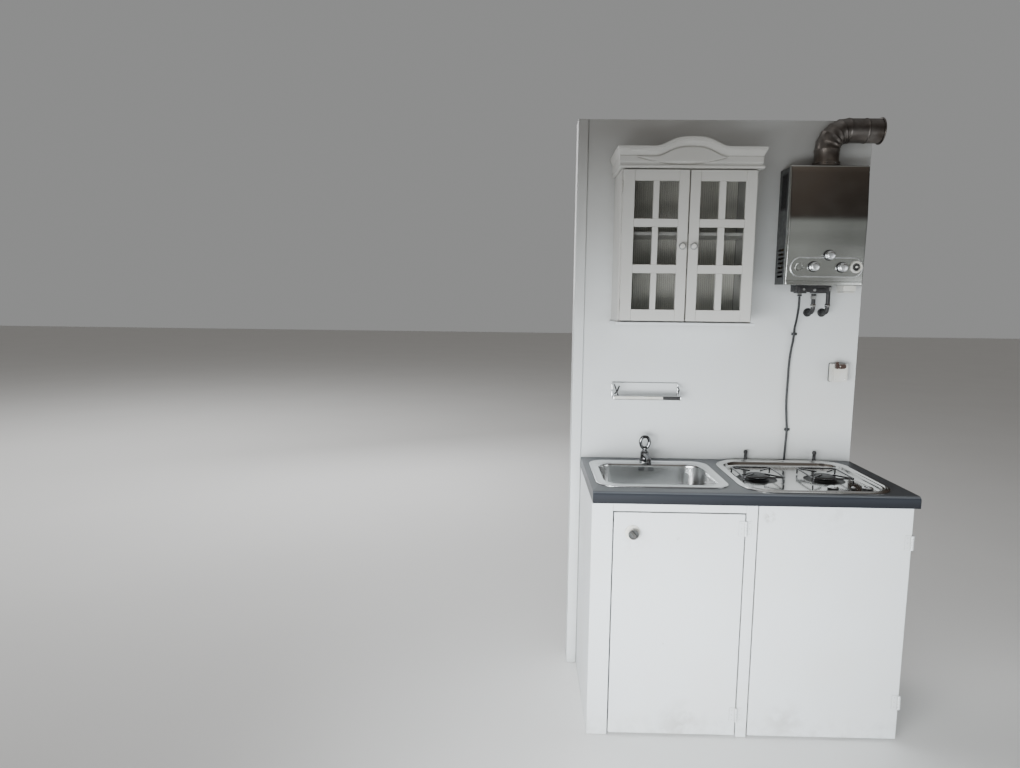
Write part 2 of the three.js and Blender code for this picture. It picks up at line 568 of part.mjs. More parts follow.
// Water heater: slotted case, folded front cover, controls, heat exchanger block and valve
function buildHeater() {
  const { left, right, foot, head, crease, lip, ridge, crown } = heater;
  const { inset, depth, sheet } = heaterCase;
  const outer = { left: left + inset, right: right - inset, foot: foot + inset, head: head - inset };
  const inner = {
    left: outer.left + sheet, right: outer.right - sheet, foot: outer.foot + sheet, head: outer.head - sheet,
  };
  const shell = block(outer.left, outer.right, touch, depth, outer.foot, outer.head);
  const hollow = block(inner.left, inner.right, touch + sheet, depth + 1, inner.foot, inner.head);
  const slotCut = (_, i) => {
    const z = caseSlots.foot + i * caseSlots.pitch;
    return block(outer.left - 1, outer.right + 1, caseSlots.back, caseSlots.front, z, z + caseSlots.height);
  };
  const slotCuts = Array.from({ length: caseSlots.count }, slotCut);
  const flueHole = turned([[0, 0], [40, 0], [40, 20], [0, 20]], flue.x, flue.d, outer.head - 10);
  add('heater_case', cut(shell, hollow, flueHole, ...slotCuts), finish.darkCase);

  const coverBack = depth + touch;
  const outside = [[coverBack, foot], [lip, foot], [ridge, crease], [crown, head], [coverBack, head]];
  const inside = [
    [coverBack - 1, foot + sheet], [lip - sheet, foot + sheet], [ridge - sheet, crease],
    [crown - sheet, head - sheet], [coverBack - 1, head - sheet],
  ];
  const pan = cut(running(outside, left, right), running(inside, left + sheet, right - sheet));
  add('heater_cover', pan, finish.steel);

  const coreLeft = inner.left + heaterCore.sideGap;
  const coreRight = inner.right - heaterCore.sideGap;
  const coreBack = sheet + 2 * touch;
  const core = block(coreLeft, coreRight, coreBack, heaterCore.front, heaterCore.foot, heaterCore.head);
  add('heater_core', core, finish.brass);

  add('heater_controls', heaterControls(), finish.chrome);

  const under = outer.foot - touch;
  const below = ({ left: x0, right: x1, back, front, foot: z0 }) => block(x0, x1, back, front, z0, under);
  const nut = turned([[0, 0], [9, 0], [9, 12], [0, 12]], gasOutlet.x, gasOutlet.d, gasOutlet.foot, 12);
  add('heater_valve', join(below(valve), nut), finish.darkCase);
  add('heater_battery_box', below(batteryBox), finish.whitePlastic);
}

// Stadium plate with its knobs and gauge, lying on the sloping lower half of the cover
function heaterControls() {
  const { foot, crease, lip, ridge } = heater;
  const slope = Math.atan((ridge - lip) / (crease - foot));
  const { left, right, foot: low, head: high } = heaterPlate;
  const radius = (high - low) / 2;
  const plate = standing(rounded(left, right, low, high, radius - 0.5), lip + touch, lip + 3, 6);
  const knobProfile = [[0, 0], [20, 0], [20, 3], [17, 5], [17, 20], [14, 23], [0, 23]];
  const knobs = heaterKnobs.map(({ x, z }) => turnedOut(knobProfile, x, lip + 1, z, 16));
  const rim = gauge.radius;
  const gaugeProfile = [[0, 0], [rim, 0], [rim, 7], [rim - 4, 9], [rim - 6, 5], [0, 5]];
  const dial = turnedOut(gaugeProfile, gauge.x, lip + 1, gauge.z, 18);
  const controls = join(plate, dial, ...knobs);
  const pivot = at(0, lip, foot);
  controls.translate(0, -pivot.y, -pivot.z);
  controls.rotateX(slope);
  return controls.translate(0, pivot.y, pivot.z);
}

// Flue: up out of the heater, round a bend and along the wall to the cabin side
function buildFlue() {
  const { x, d, radius, wall, axisHeight, bend, end } = flue;
  const start = heater.head - heaterCase.inset + touch;
  const bendSteps = 6;
  const route = (overrun) => {
    const points = [at(x, d, start - overrun), at(x, d, axisHeight - bend - 12)];
    for (let i = 0; i <= bendSteps; i += 1) {
      const angle = (Math.PI / 2) * (i / bendSteps);
      points.push(at(x + bend * (1 - Math.cos(angle)), d, axisHeight - bend + bend * Math.sin(angle)));
    }
    points.push(at(x + bend + 12, d, axisHeight), at(end + overrun, d, axisHeight));
    return new THREE.CatmullRomCurve3(points, false, 'centripetal');
  };
  const sides = 16;
  const steps = 15;
  const outer = tube(route(0), radius, sides, steps);
  const inner = tube(route(3), radius - wall, sides, steps);
  const ringRadius = radius + 5;
  const collar = turned([[0, 5], [ringRadius, 5], [ringRadius, 24], [0, 24]], x, d, start, 24);
  const ringPath = new THREE.LineCurve3(at(end - 4, d, axisHeight), at(end, d, axisHeight));
  add('flue_pipe', cut(join(outer, collar, tube(ringPath, ringRadius, 24, 1)), inner), finish.flueMetal);
}

// Water pipes from the heater into the wall, each with a rosette
function buildPipes() {
  const { d, wallHeight, radius } = pipeRun;
  for (const { name, x, head } of waterPipes) {
    const path = new THREE.CatmullRomCurve3([
      at(x, d, head), at(x, d, head - 14), at(x, d, wallHeight + 24), at(x, d - 4, wallHeight + 9),
      at(x, d - 14, wallHeight + 1), at(x, d - 28, wallHeight), at(x, touch, wallHeight),
    ], false, 'centripetal');
    const nut = turned([[0, 0], [12, 0], [12, 14], [0, 14]], x, d, head - 20, 6);
    const rosette = turnedOut([[0, 0], [17, 0], [12, 6], [0, 6]], x, touch, wallHeight, 16);
    add(name, join(tube(path, radius, 10, 16), nut, rosette), finish.blackIron);
  }
}

// Gas hose from the heater, down the wall between two clips and through the worktop to its cock
function buildHose() {
  const route = [
    [815, 66, 1535.6], [815, 66, 1515], [816, 60, 1484], [819, 40, 1444], [822, 18, 1412], [824, 10, 1389],
    [822, 9, 1362], [817, 9, 1329], [812, 9, 1270], [811, 9, 1209], [810, 9, 1129], [814, 9, 1060],
    [818, 10, 1007], [817, 10, 960], [815, 11, 920], [814, 11, 880], [814, 11, 840], [814, 14, 780],
    [814, 20, 730], [814, 22, 690.3],
  ];
  const path = new THREE.CatmullRomCurve3(route.map((point) => at(...point)), false, 'centripetal');
  add('gas_hose', tube(path, hose.radius, hose.sides, hose.steps), finish.blackRubber);

  const reach = 7;
  for (const { place, x, z } of hoseClips) {
    const strap = block(x - 16, x + 16, touch, 19, z - 6, z + 6);
    const channel = block(x - reach, x + reach, -1, 17, z - 7, z + 7);
    const leftShoulder = block(x - 17, x - reach - 2, 2, 21, z - 7, z + 7);
    const rightShoulder = block(x + reach + 2, x + 17, 2, 21, z - 7, z + 7);
    add(`hose_clip_${place}`, cut(strap, channel, leftShoulder, rightShoulder), finish.blackRubber);
  }

  const { x, d, foot, head } = gasCock;
  const nipple = head - foot;
  const cock = join(
    turned([[0, 0], [9, 0], [9, nipple - 4], [7, nipple], [0, nipple]], x, d, foot, 12),
    turned([[0, 0], [13, 0], [13, 14], [0, 14]], x, d, foot + 12, 6),
    block(x - 8, x + 8, touch, d, foot + 14, foot + 24),
    block(x - 22, x + 22, touch, 4, foot + 4, foot + 34),
    block(x - 4, x + 4, d, d + 30, foot + 16, foot + 21),
  );
  add('gas_cock', cock, finish.brass);
}

// Wire rack on the wall above the sink: rails joined by ribs, with crossed wires at both ends
function buildRack() {
  const { left, right, depth, foot, head, wire } = rack;
  const bite = 0.6;
  const railBack = touch + wire;
  const strip = { height: 17, back: depth - wire };
  const pieces = [
    block(left, right, touch, railBack, head - wire, head),
    block(left, right, touch, railBack, foot, foot + wire),
    block(left, right, strip.back, depth, foot, foot + strip.height),
    block(left, right, 32, 32 + wire, foot, foot + wire),
  ];
  for (const x of [left + wire, right - wire]) {
    const [x0, x1] = [x - wire / 2, x + wire / 2];
    const backEnd = touch + 2 * bite;
    const frontEnd = strip.back + 2 * bite;
    const upright = [touch + bite, railBack - bite];
    pieces.push(block(x0, x1, ...upright, foot + bite, head - bite));
    const frontFoot = foot + strip.height - wire - 2 * bite;
    const diagonal = (zBack) => [
      [backEnd, zBack], [frontEnd, frontFoot], [frontEnd, frontFoot + wire], [backEnd, zBack + wire],
    ];
    pieces.push(running(diagonal(head - wire - 2 * bite).reverse(), x0 + bite, x1 - bite));
    pieces.push(running(diagonal(foot + 3 * bite).reverse(), x0 + bite, x1 - bite));
  }
  const ribs = 6;
  for (let i = 0; i <= ribs; i += 1) {
    const x = left + wire + ((right - left - 2 * wire) * i) / ribs;
    const half = wire / 2 + bite;
    pieces.push(block(x - half, x + half, touch + bite, depth - bite, foot + bite, foot + wire - bite));
  }
  add('wall_rack', join(...pieces), finish.chrome);
}

// Surface box with a switch lever on its face
function buildSocket() {
  const { left, right, foot, head, depth } = socket;
  const body = standing(rounded(left, right, foot, head, 6), touch, depth, 4);
  const face = standing(rounded(left + 6, right - 6, foot + 6, head - 6, 4), depth - 1, depth + 3, 4);
  const lever = block(left + 8, left + 19, depth + 2, depth + 14, head - 20, head + 8);
  const pivot = block(left + 18, left + 50, depth + 2, depth + 9, head - 20, head - 1);
  add('switch_box', join(body, face, lever, pivot), finish.whitePlastic);
}

buildBulkhead();
buildBase();
buildWorktop();
buildSink();
buildTap();
buildHob();
buildCabinet();
buildHeater();
buildFlue();
buildPipes();
buildHose();
buildRack();
buildSocket();

export default galley;
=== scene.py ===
import math
from functools import partial
from types import SimpleNamespace

import bmesh
import bpy
from mathutils import Matrix, Vector


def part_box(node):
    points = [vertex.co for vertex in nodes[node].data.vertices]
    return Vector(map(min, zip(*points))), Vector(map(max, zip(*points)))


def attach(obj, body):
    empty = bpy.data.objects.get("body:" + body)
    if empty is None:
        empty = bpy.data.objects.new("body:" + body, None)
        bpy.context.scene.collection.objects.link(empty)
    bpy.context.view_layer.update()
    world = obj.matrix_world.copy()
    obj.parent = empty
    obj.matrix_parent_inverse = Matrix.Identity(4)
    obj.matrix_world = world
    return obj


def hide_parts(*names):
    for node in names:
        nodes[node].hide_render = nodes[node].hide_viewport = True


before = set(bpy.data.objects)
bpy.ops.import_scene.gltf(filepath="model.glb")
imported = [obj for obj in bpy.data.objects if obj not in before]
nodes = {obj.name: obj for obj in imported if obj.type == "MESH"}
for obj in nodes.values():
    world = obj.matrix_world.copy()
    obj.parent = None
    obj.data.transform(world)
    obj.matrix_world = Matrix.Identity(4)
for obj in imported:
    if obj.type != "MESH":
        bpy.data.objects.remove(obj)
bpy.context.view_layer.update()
mm = 0.001
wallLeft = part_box("bulkhead_lining")[0].x
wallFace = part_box("bulkhead_lining")[0].y
upward = Vector((0, 0, 1))
outward = Vector((0, -1, 0))


def at(x, d, z):
    # x from the bulkhead's left end, d out from the wall's face, z above the floor, in millimetres
    return Vector((wallLeft + x * mm, wallFace - d * mm, z * mm))


def extent(node):
    low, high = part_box(node)
    return SimpleNamespace(
        left=(low.x - wallLeft) / mm, right=(high.x - wallLeft) / mm,
        back=(wallFace - high.y) / mm, front=(wallFace - low.y) / mm,
        foot=low.z / mm, head=high.z / mm,
    )


# Camera, floor and light

viewpoint = {
    "place": (-0.7761, -2.8025, 1.5087),  # metres
    "pitch": 6.9018,  # degrees down
    "yaw": -1.1262,
    "roll": 0.686,
    "lens": 24.5,
}


def placeCamera():
    pitch, yaw, roll = (math.radians(viewpoint[turn]) for turn in ("pitch", "yaw", "roll"))
    ahead = Vector((math.sin(yaw) * math.cos(pitch), math.cos(yaw) * math.cos(pitch), -math.sin(pitch)))
    level = Vector((math.cos(yaw), -math.sin(yaw), 0))
    above = level.cross(ahead)
    right = math.cos(roll) * level + math.sin(roll) * above
    top = math.cos(roll) * above - math.sin(roll) * level
    camera = bpy.data.objects.new("camera", bpy.data.cameras.new("camera"))
    camera.data.lens = viewpoint["lens"]
    camera.data.clip_start = 0.05
    turned = Matrix((right, top, -ahead)).transposed().to_4x4()
    camera.matrix_world = Matrix.Translation(viewpoint["place"]) @ turned
    bpy.context.scene.collection.objects.link(camera)
    bpy.context.scene.camera = camera


coolWhite = (0.94, 0.98, 1.0)
lamps = [  # name, place, aim, size, watts, colour, spread in degrees
    ("lowLight", (-1.05, -2.3, 0.74), (0.03, -0.3, 0.5), (1.6, 0.8), 25, coolWhite, 78),
    ("doorLight", (-2.4, -2.4, 1.0), (-0.1, -0.25, 0.75), (1.1, 1.4), 5, (0.96, 0.98, 1.0), 70),
    ("windowLight", (2.1, -1.7, 0.85), (0.1, -0.2, 0.8), (1.7, 1.2), 5, coolWhite, 80),
    ("topLight", (-0.3, -1.7, 3.3), (0.0, -0.3, 0.9), (2.4, 1.4), 0.4, (1.0, 0.94, 0.86), 180),
    ("floorLight", (-4.5, 3.0, 5.0), (-4.2, 4.5, 0), (4.0, 4.0), 220, (1.0, 1.0, 1.0), 160),
    ("backLight", (-1.9, 3.2, 2.4), (-0.3, 0, 0.6), (2.4, 2.0), 60, (0.97, 0.98, 1.0), 180),
]


def placeLamps():
    for name, place, aim, size, watts, colour, spread in lamps:
        light = bpy.data.lights.new(name, "AREA")
        light.shape = "RECTANGLE"
        light.size, light.size_y = size
        light.energy = watts
        light.color = colour
        light.spread = math.radians(spread)
        carrier = bpy.data.objects.new(name, light)
        carrier.location = place
        carrier.rotation_euler = (Vector(aim) - Vector(place)).to_track_quat("-Z", "Y").to_euler()
        bpy.context.scene.collection.objects.link(carrier)


def addNode(tree, kind, inputs=None, out=0, **settings):
    # a node with its settings and inputs; what comes back is one of its outputs
    node = tree.nodes.new(kind)
    for key, value in settings.items():
        setattr(node, key, value)
    for key, value in (inputs or {}).items():
        for source in value if isinstance(value, list) else [value]:
            if isinstance(source, bpy.types.NodeSocket):
                tree.links.new(source, node.inputs[key])
            else:
                node.inputs[key].default_value = source
    return node.outputs[out] if node.outputs else None


skyBands = [  # sine of the height above the horizon, and the colour of the light from there
    (-1.0, (0.40, 0.40, 0.39)),
    (-0.10, (0.42, 0.43, 0.42)),
    (0.0, (0.50, 0.52, 0.50)),
    (0.045, (0.34, 0.35, 0.335)),
    (0.10, (0.24, 0.24, 0.23)),
    (0.165, (0.06, 0.048, 0.042)),
    (0.235, (0.042, 0.032, 0.027)),
    (0.275, (0.125, 0.097, 0.08)),
    (0.50, (0.15, 0.125, 0.105)),
    (0.72, (0.42, 0.41, 0.39)),
    (0.9, (0.85, 0.85, 0.84)),
    (1.0, (0.95, 0.95, 0.94)),
]
skySides = [  # degrees to the right of straight behind the camera, and how much light comes from there
    (-180, 0.6), (-84, 0.6), (-66, 1.15), (-30, 1.15), (-22, 0.45), (4, 0.45), (10, 1.15), (20, 1.1),
    (26, 0.7), (50, 0.7), (60, 0.45), (180, 0.6),
]
skyStrength = 0.8
backdrop = {"colour": (0.31, 0.312, 0.31, 1), "strength": 0.9}


def addRamp(tree, factor, stops):
    colour = addNode(tree, "ShaderNodeValToRGB", {"Fac": factor}, "Color")
    places = colour.node.color_ramp.elements
    while len(places) < len(stops):
        places.new(0.5)
    for stop, (place, shade) in zip(places, stops):
        stop.position = place
        stop.color = (*shade, 1)
    return colour


def placeSky():
    world = bpy.data.worlds.new("studio")
    bpy.context.scene.world = world
    world.use_nodes = True
    tree = world.node_tree
    tree.nodes.clear()
    way = addNode(tree, "ShaderNodeTexCoord", out="Generated")
    parts = addNode(tree, "ShaderNodeSeparateXYZ", {"Vector": way}).node.outputs
    height = addNode(tree, "ShaderNodeMapRange", {"Value": parts["Z"], "From Min": -1.0, "From Max": 1.0})
    bands = addRamp(tree, height, [((sine + 1) / 2, colour) for sine, colour in skyBands])
    front = addNode(tree, "ShaderNodeMath", {0: parts["Y"], 1: -1.0}, operation="MULTIPLY")
    turn = addNode(tree, "ShaderNodeMath", {0: parts["X"], 1: front}, operation="ARCTAN2")
    share = addNode(tree, "ShaderNodeMapRange", {"Value": turn, "From Min": -math.pi, "From Max": math.pi})
    sides = addRamp(tree, share, [((degrees + 180) / 360, (light,) * 3) for degrees, light in skySides])
    both = addNode(tree, "ShaderNodeVectorMath", {0: bands, 1: sides}, operation="MULTIPLY")
    around = addNode(tree, "ShaderNodeBackground", {"Color": both, "Strength": skyStrength})
    behind = addNode(
        tree, "ShaderNodeBackground", {"Color": backdrop["colour"], "Strength": backdrop["strength"]},
    )
    seen = addNode(tree, "ShaderNodeLightPath", out="Is Camera Ray")
    shown = addNode(tree, "ShaderNodeMixShader", {0: seen, 1: around, 2: behind})
    addNode(tree, "ShaderNodeOutputWorld", {"Surface": shown})


# Materials: patterns are in Object coordinates, and sizes in them are in millimetres

def startMaterial(name, colour, roughness, metallic=0.0, **sockets):
    material = bpy.data.materials.new(name)
    material.use_nodes = True
    tree = material.node_tree
    shader = tree.nodes["Principled BSDF"]
    shader.inputs["Base Color"].default_value = (*colour, 1)
    shader.inputs["Roughness"].default_value = roughness
    shader.inputs["Metallic"].default_value = metallic
    for socket, value in sockets.items():
        shader.inputs[socket.replace("_", " ")].default_value = value
    place = addNode(tree, "ShaderNodeTexCoord", out="Object")
    return SimpleNamespace(material=material, tree=tree, shader=shader, place=place, colour=colour)


def grain(kit, size, detail=3.0, stretch=(1, 1, 1), shift=(0, 0, 0)):
    placed = addNode(
        kit.tree, "ShaderNodeMapping", {"Vector": kit.place, "Location": shift, "Scale": stretch},
    )
    return addNode(
        kit.tree, "ShaderNodeTexNoise", {"Vector": placed, "Scale": 1 / (size * mm), "Detail": detail},
    )


def between(kit, value, low, high, toLow=0.0, toHigh=1.0):
    return addNode(kit.tree, "ShaderNodeMapRange", {
        "Value": value, "From Min": low, "From Max": high, "To Min": toLow, "To Max": toHigh,
    })


def patches(kit, size, detail, low=0.3, high=0.7, toLow=0.0, toHigh=1.0, **placing):
    return between(kit, grain(kit, size, detail, **placing), low, high, toLow, toHigh)


def times(kit, first, *others):
    for other in others:
        first = addNode(kit.tree, "ShaderNodeMath", {0: first, 1: other}, operation="MULTIPLY")
    return first


def plus(kit, first, second):
    return addNode(kit.tree, "ShaderNodeMath", {0: first, 1: second}, operation="ADD")


def darker(colour, share):
    return tuple(share * part for part in colour)


def nearPoint(kit, point, radius):
    # 1 at the point, falling to 0 at the radius
    away = addNode(kit.tree, "ShaderNodeVectorMath", {0: kit.place, 1: point}, "Value", operation="DISTANCE")
    return between(kit, away, 0.0, radius * mm, 1.0, 0.0)


def heightOf(kit, low, high, toLow=0.0, toHigh=1.0):
    z = addNode(kit.tree, "ShaderNodeSeparateXYZ", {"Vector": kit.place}, "Z")
    return between(kit, z, low * mm, high * mm, toLow, toHigh)


def crevices(kit, distance):
    # 1 in tight corners, 0 in the open, from ambient occlusion: what it darkens is painted shade, in places
    # along with dirt
    shade = addNode(kit.tree, "ShaderNodeAmbientOcclusion", {"Distance": distance * mm}, "AO", samples=5)
    return between(kit, shade, 0.25, 0.85, 1.0, 0.0)


def wear(kit, width=1.6):
    # 1 on outer edges, from how far a rounded normal leans away from the true one
    rounded = addNode(kit.tree, "ShaderNodeBevel", {"Radius": width * mm}, samples=4)
    true = addNode(kit.tree, "ShaderNodeNewGeometry", out="True Normal")
    lean = addNode(kit.tree, "ShaderNodeVectorMath", {0: rounded, 1: true}, "Value", operation="DOT_PRODUCT")
    return between(kit, lean, 0.97, 0.80)


def overlay(kit, mask, colour):
    # lays a colour over those before it, where the mask says
    under = kit.colour if isinstance(kit.colour, bpy.types.NodeSocket) else (*kit.colour, 1)
    kit.colour = addNode(
        kit.tree, "ShaderNodeMix", {0: mask, 6: under, 7: (*colour, 1)}, 2, data_type="RGBA",
    )


def finished(kit, *bumps, sheen=None):
    # bumps are heights between 0 and 1 and their depth in millimetres, sheen the shader's roughness
    if isinstance(kit.colour, bpy.types.NodeSocket):
        kit.tree.links.new(kit.colour, kit.shader.inputs["Base Color"])
    if sheen:
        kit.tree.links.new(sheen, kit.shader.inputs["Roughness"])
    normal = None
    for height, depth in bumps:
        inputs = {"Height": height, "Distance": depth * mm, "Strength": 1.0}
        if normal:
            inputs["Normal"] = normal
        normal = addNode(kit.tree, "ShaderNodeBump", inputs)
    if normal:
        kit.tree.links.new(normal, kit.shader.inputs["Normal"])
    return kit.material


wallLook = {"paint": (0.70, 0.725, 0.735), "aged": (0.62, 0.61, 0.58), "grease": (0.60, 0.56, 0.47),
            "corner": (0.30, 0.29, 0.27), "smoky": (0.38, 0.365, 0.34)}
unitLook = {"paint": (0.75, 0.78, 0.80), "aged": (0.69, 0.685, 0.65), "dirt": (0.30, 0.28, 0.25)}
# the wall cabinet's colours are the unit's paint made darker and warmer: painted shade, as the cabinet high
# on the wall gets less light
shadedCabinetLook = {"paint": (0.62, 0.615, 0.59), "aged": (0.55, 0.535, 0.485), "dirt": (0.22, 0.20, 0.17)}
marks = [  # x, d, z and radius of the stains on the doors, and their depth
    (596, 489, 794, 26, 0.8), (257, 489, 340, 6, 0.7), (293, 489, 715, 9, 0.5), (150, 489, 700, 60, 0.3),
    (330, 489, 40, 110, 0.5), (690, 489, 60, 90, 0.4), (820, 489, 800, 70, 0.2),
]
# edging is the top's laminate darkened for the front face, and foot darker still: painted shade
laminateLook = {
    "top": ((0.084, 0.091, 0.102), (0.13, 0.136, 0.147)),
    "edging": ((0.020, 0.023, 0.030), (0.028, 0.032, 0.039)),
    "foot": (0.008, 0.009, 0.012), "dirt": (0.02, 0.021, 0.023),
}


def wallPaint():
    kit = startMaterial("wallPaint", wallLook["paint"], 0.5)
    overlay(kit, patches(kit, 420, 2, 0.4, 0.7, 0.0, 0.3), wallLook["aged"])
    greasy = times(kit, nearPoint(kit, at(780, 0, 1080), 420), grain(kit, 90, 3), 0.3)
    overlay(kit, greasy, wallLook["grease"])  # behind the hob
    smoky = times(kit, heightOf(kit, 1450, 2150), patches(kit, 300, 3, toLow=0.5, toHigh=0.7))
    overlay(kit, smoky, wallLook["smoky"])  # painted shade: greyer towards the deckhead, where less light reaches the wall
    # painted shade: the wall darkened round and under what stands on it, out to 60 mm
    cornerShade = times(kit, crevices(kit, 60), patches(kit, 25, 4, toLow=0.35, toHigh=0.6))
    overlay(kit, cornerShade, wallLook["corner"])
    rollered = (grain(kit, 6, 2, (1, 1, 0.3)), 0.05)
    hollows = (grain(kit, 160, 2), 0.6)
    return finished(kit, rollered, hollows, sheen=patches(kit, 90, 3, toLow=0.45, toHigh=0.58))


def unitPaint(name, look):
    kit = startMaterial(name, look["paint"], 0.38)
    overlay(kit, patches(kit, 300, 2, 0.42, 0.72, 0.0, 0.3, shift=(3, 1, 7)), look["aged"])
    # dirt and painted shade in the gaps and corners
    overlay(kit, times(kit, crevices(kit, 8), patches(kit, 30, 2, 0.3, 0.65, 0.45, 0.85)), look["dirt"])
    splashes = times(kit, heightOf(kit, 0, 90, 1.0, 0.0), patches(kit, 40, 4, 0.45, 0.7), 0.3)
    overlay(kit, splashes, look["dirt"])
    for x, d, z, radius, depth in marks:
        ragged = patches(kit, radius / 2, 4, 0.42, 0.62, shift=(x, 0, z))
        overlay(kit, times(kit, nearPoint(kit, at(x, d, z), radius), ragged, depth), look["dirt"])
    overlay(kit, times(kit, wear(kit), patches(kit, 25, 4, 0.48, 0.62, 0.0, 0.35)), look["dirt"])
    strokes = (grain(kit, 4, 3, (1, 1, 0.04)), 0.03)
    hollows = (grain(kit, 140, 2), 0.4)
    return finished(kit, strokes, hollows, sheen=patches(kit, 70, 3, toLow=0.32, toHigh=0.46))


def rawPine():
    kit = startMaterial("rawPine", (0.60, 0.44, 0.26), 0.7)
    rings = addNode(kit.tree, "ShaderNodeTexWave", {
        "Vector": kit.place, "Scale": 22.0, "Distortion": 9.0, "Detail": 3.0, "Detail Scale": 0.6,
    }, "Fac", bands_direction="X")
    fibres = grain(kit, 2, 5, (1, 1, 0.03))
    overlay(kit, between(kit, rings, 0.2, 0.9), (0.40, 0.25, 0.12))
    overlay(kit, between(kit, fibres, 0.35, 0.7, 0.0, 0.5), (0.33, 0.22, 0.12))
    overlay(kit, patches(kit, 140, 3, 0.5, 0.7, 0.0, 0.4), (0.34, 0.30, 0.25))
    return finished(kit, (fibres, 0.25))


def laminate(name, colour, pale, rough=0.36, gloss=0.5):
    kit = startMaterial(name, colour, rough, Specular_IOR_Level=gloss)
    overlay(kit, patches(kit, 2.2, 2, 0.35, 0.65, 0.0, 0.25), pale)
    overlay(kit, patches(kit, 200, 2, 0.35, 0.7, 0.0, 0.2), pale)
    overlay(kit, heightOf(kit, 843, 874, 0.75, 0.0), laminateLook["foot"])  # painted shade: darker towards its foot, as the front's lower half gets less light
    # dirt and painted shade along the corners, as at the joint with the wall
    overlay(kit, times(kit, crevices(kit, 7), 0.7), laminateLook["dirt"])
    sheen = patches(kit, 2.2, 2, 0.35, 0.7, rough, rough + 0.05)
    return finished(kit, (grain(kit, 1.6, 2), 0.006), sheen=sheen)


def brushedSteel(name, colour, rough, stretch, depth=0.02, cloudiness=0.25, shade=0.0):
    kit = startMaterial(name, colour, rough, 1.0)
    streaks = grain(kit, 0.8, 3, stretch)
    cloud = patches(kit, 80, 4, 0.4, 0.75)
    overlay(kit, between(kit, streaks, 0.3, 0.7, 0.0, 0.3), darker(colour, 0.78))
    overlay(kit, times(kit, cloud, cloudiness), darker(colour, 0.7))
    if shade:
        overlay(kit, times(kit, crevices(kit, 130), shade), darker(colour, 0.25))
    uneven = plus(kit, between(kit, streaks, 0.3, 0.7, -0.02, 0.03), times(kit, cloud, 0.05))
    return finished(kit, (streaks, depth), sheen=plus(kit, uneven, rough))


def darkEnamel():
    kit = startMaterial("darkEnamel", (0.040, 0.042, 0.042), 0.42)
    facing = addNode(kit.tree, "ShaderNodeNewGeometry", out="Normal")
    up = addNode(kit.tree, "ShaderNodeSeparateXYZ", {"Vector": facing}, "Z")
    overlay(kit, patches(kit, 50, 4, 0.4, 0.7), (0.075, 0.078, 0.076))
    dust = times(kit, between(kit, up, 0.3, 0.9), patches(kit, 12, 4, toLow=0.2, toHigh=0.7))
    overlay(kit, dust, (0.24, 0.22, 0.19))
    return finished(kit, (grain(kit, 1.5, 2), 0.05), sheen=patches(kit, 20, 4, toLow=0.34, toHigh=0.52))


def flueSheet():
    kit = startMaterial("flueSheet", (0.20, 0.185, 0.175), 0.38, 0.9)
    overlay(kit, patches(kit, 60, 5, 0.35, 0.7), (0.10, 0.085, 0.075))
    rust = times(kit, heightOf(kit, 2000, 2130, 1.0, 0.0), patches(kit, 25, 4), 0.35)
    overlay(kit, rust, (0.22, 0.15, 0.09))
    overlay(kit, times(kit, crevices(kit, 10), 0.7), (0.04, 0.035, 0.03))
    dents = (grain(kit, 4, 3), 0.05), (grain(kit, 40, 2), 0.4)
    return finished(kit, *dents, sheen=patches(kit, 18, 5, toLow=0.28, toHigh=0.52))


def simple(name, colour, other, spread, sheen, *bumps, metallic=0.0, rough=0.4, dirt=None, **sockets):
    # two colours in patches, dirt and painted shade in the corners, an uneven gloss and a fine relief
    kit = startMaterial(name, colour, rough, metallic, **sockets)
    if other:
        overlay(kit, patches(kit, *spread), other)
    if dirt:
        distance, share, shade = dirt
        overlay(kit, times(kit, crevices(kit, distance), share), shade)
    reliefs = [(grain(kit, size, detail, *stretch), depth) for size, detail, depth, *stretch in bumps]
    return finished(kit, *reliefs, sheen=patches(kit, *sheen) if sheen else None)


def chrome(name, colour):
    return simple(name, colour, darker(colour, 0.74), (14, 5, 0.45, 0.75), (9, 5, 0.35, 0.75, 0.05, 0.2),
                  (6, 3, 0.01), metallic=1.0)


def agedPlastic(name, colour, aged, rough=0.32):
    sheen = (12, 4, 0.3, 0.7, rough - 0.05, rough + 0.14)
    # dirt and painted shade in the crevices
    return simple(name, colour, aged, (30, 4, 0.35, 0.75, 0.0, 0.7), sheen, (0.8, 2, 0.015),
                  dirt=(5, 0.6, darker(colour, 0.25)))


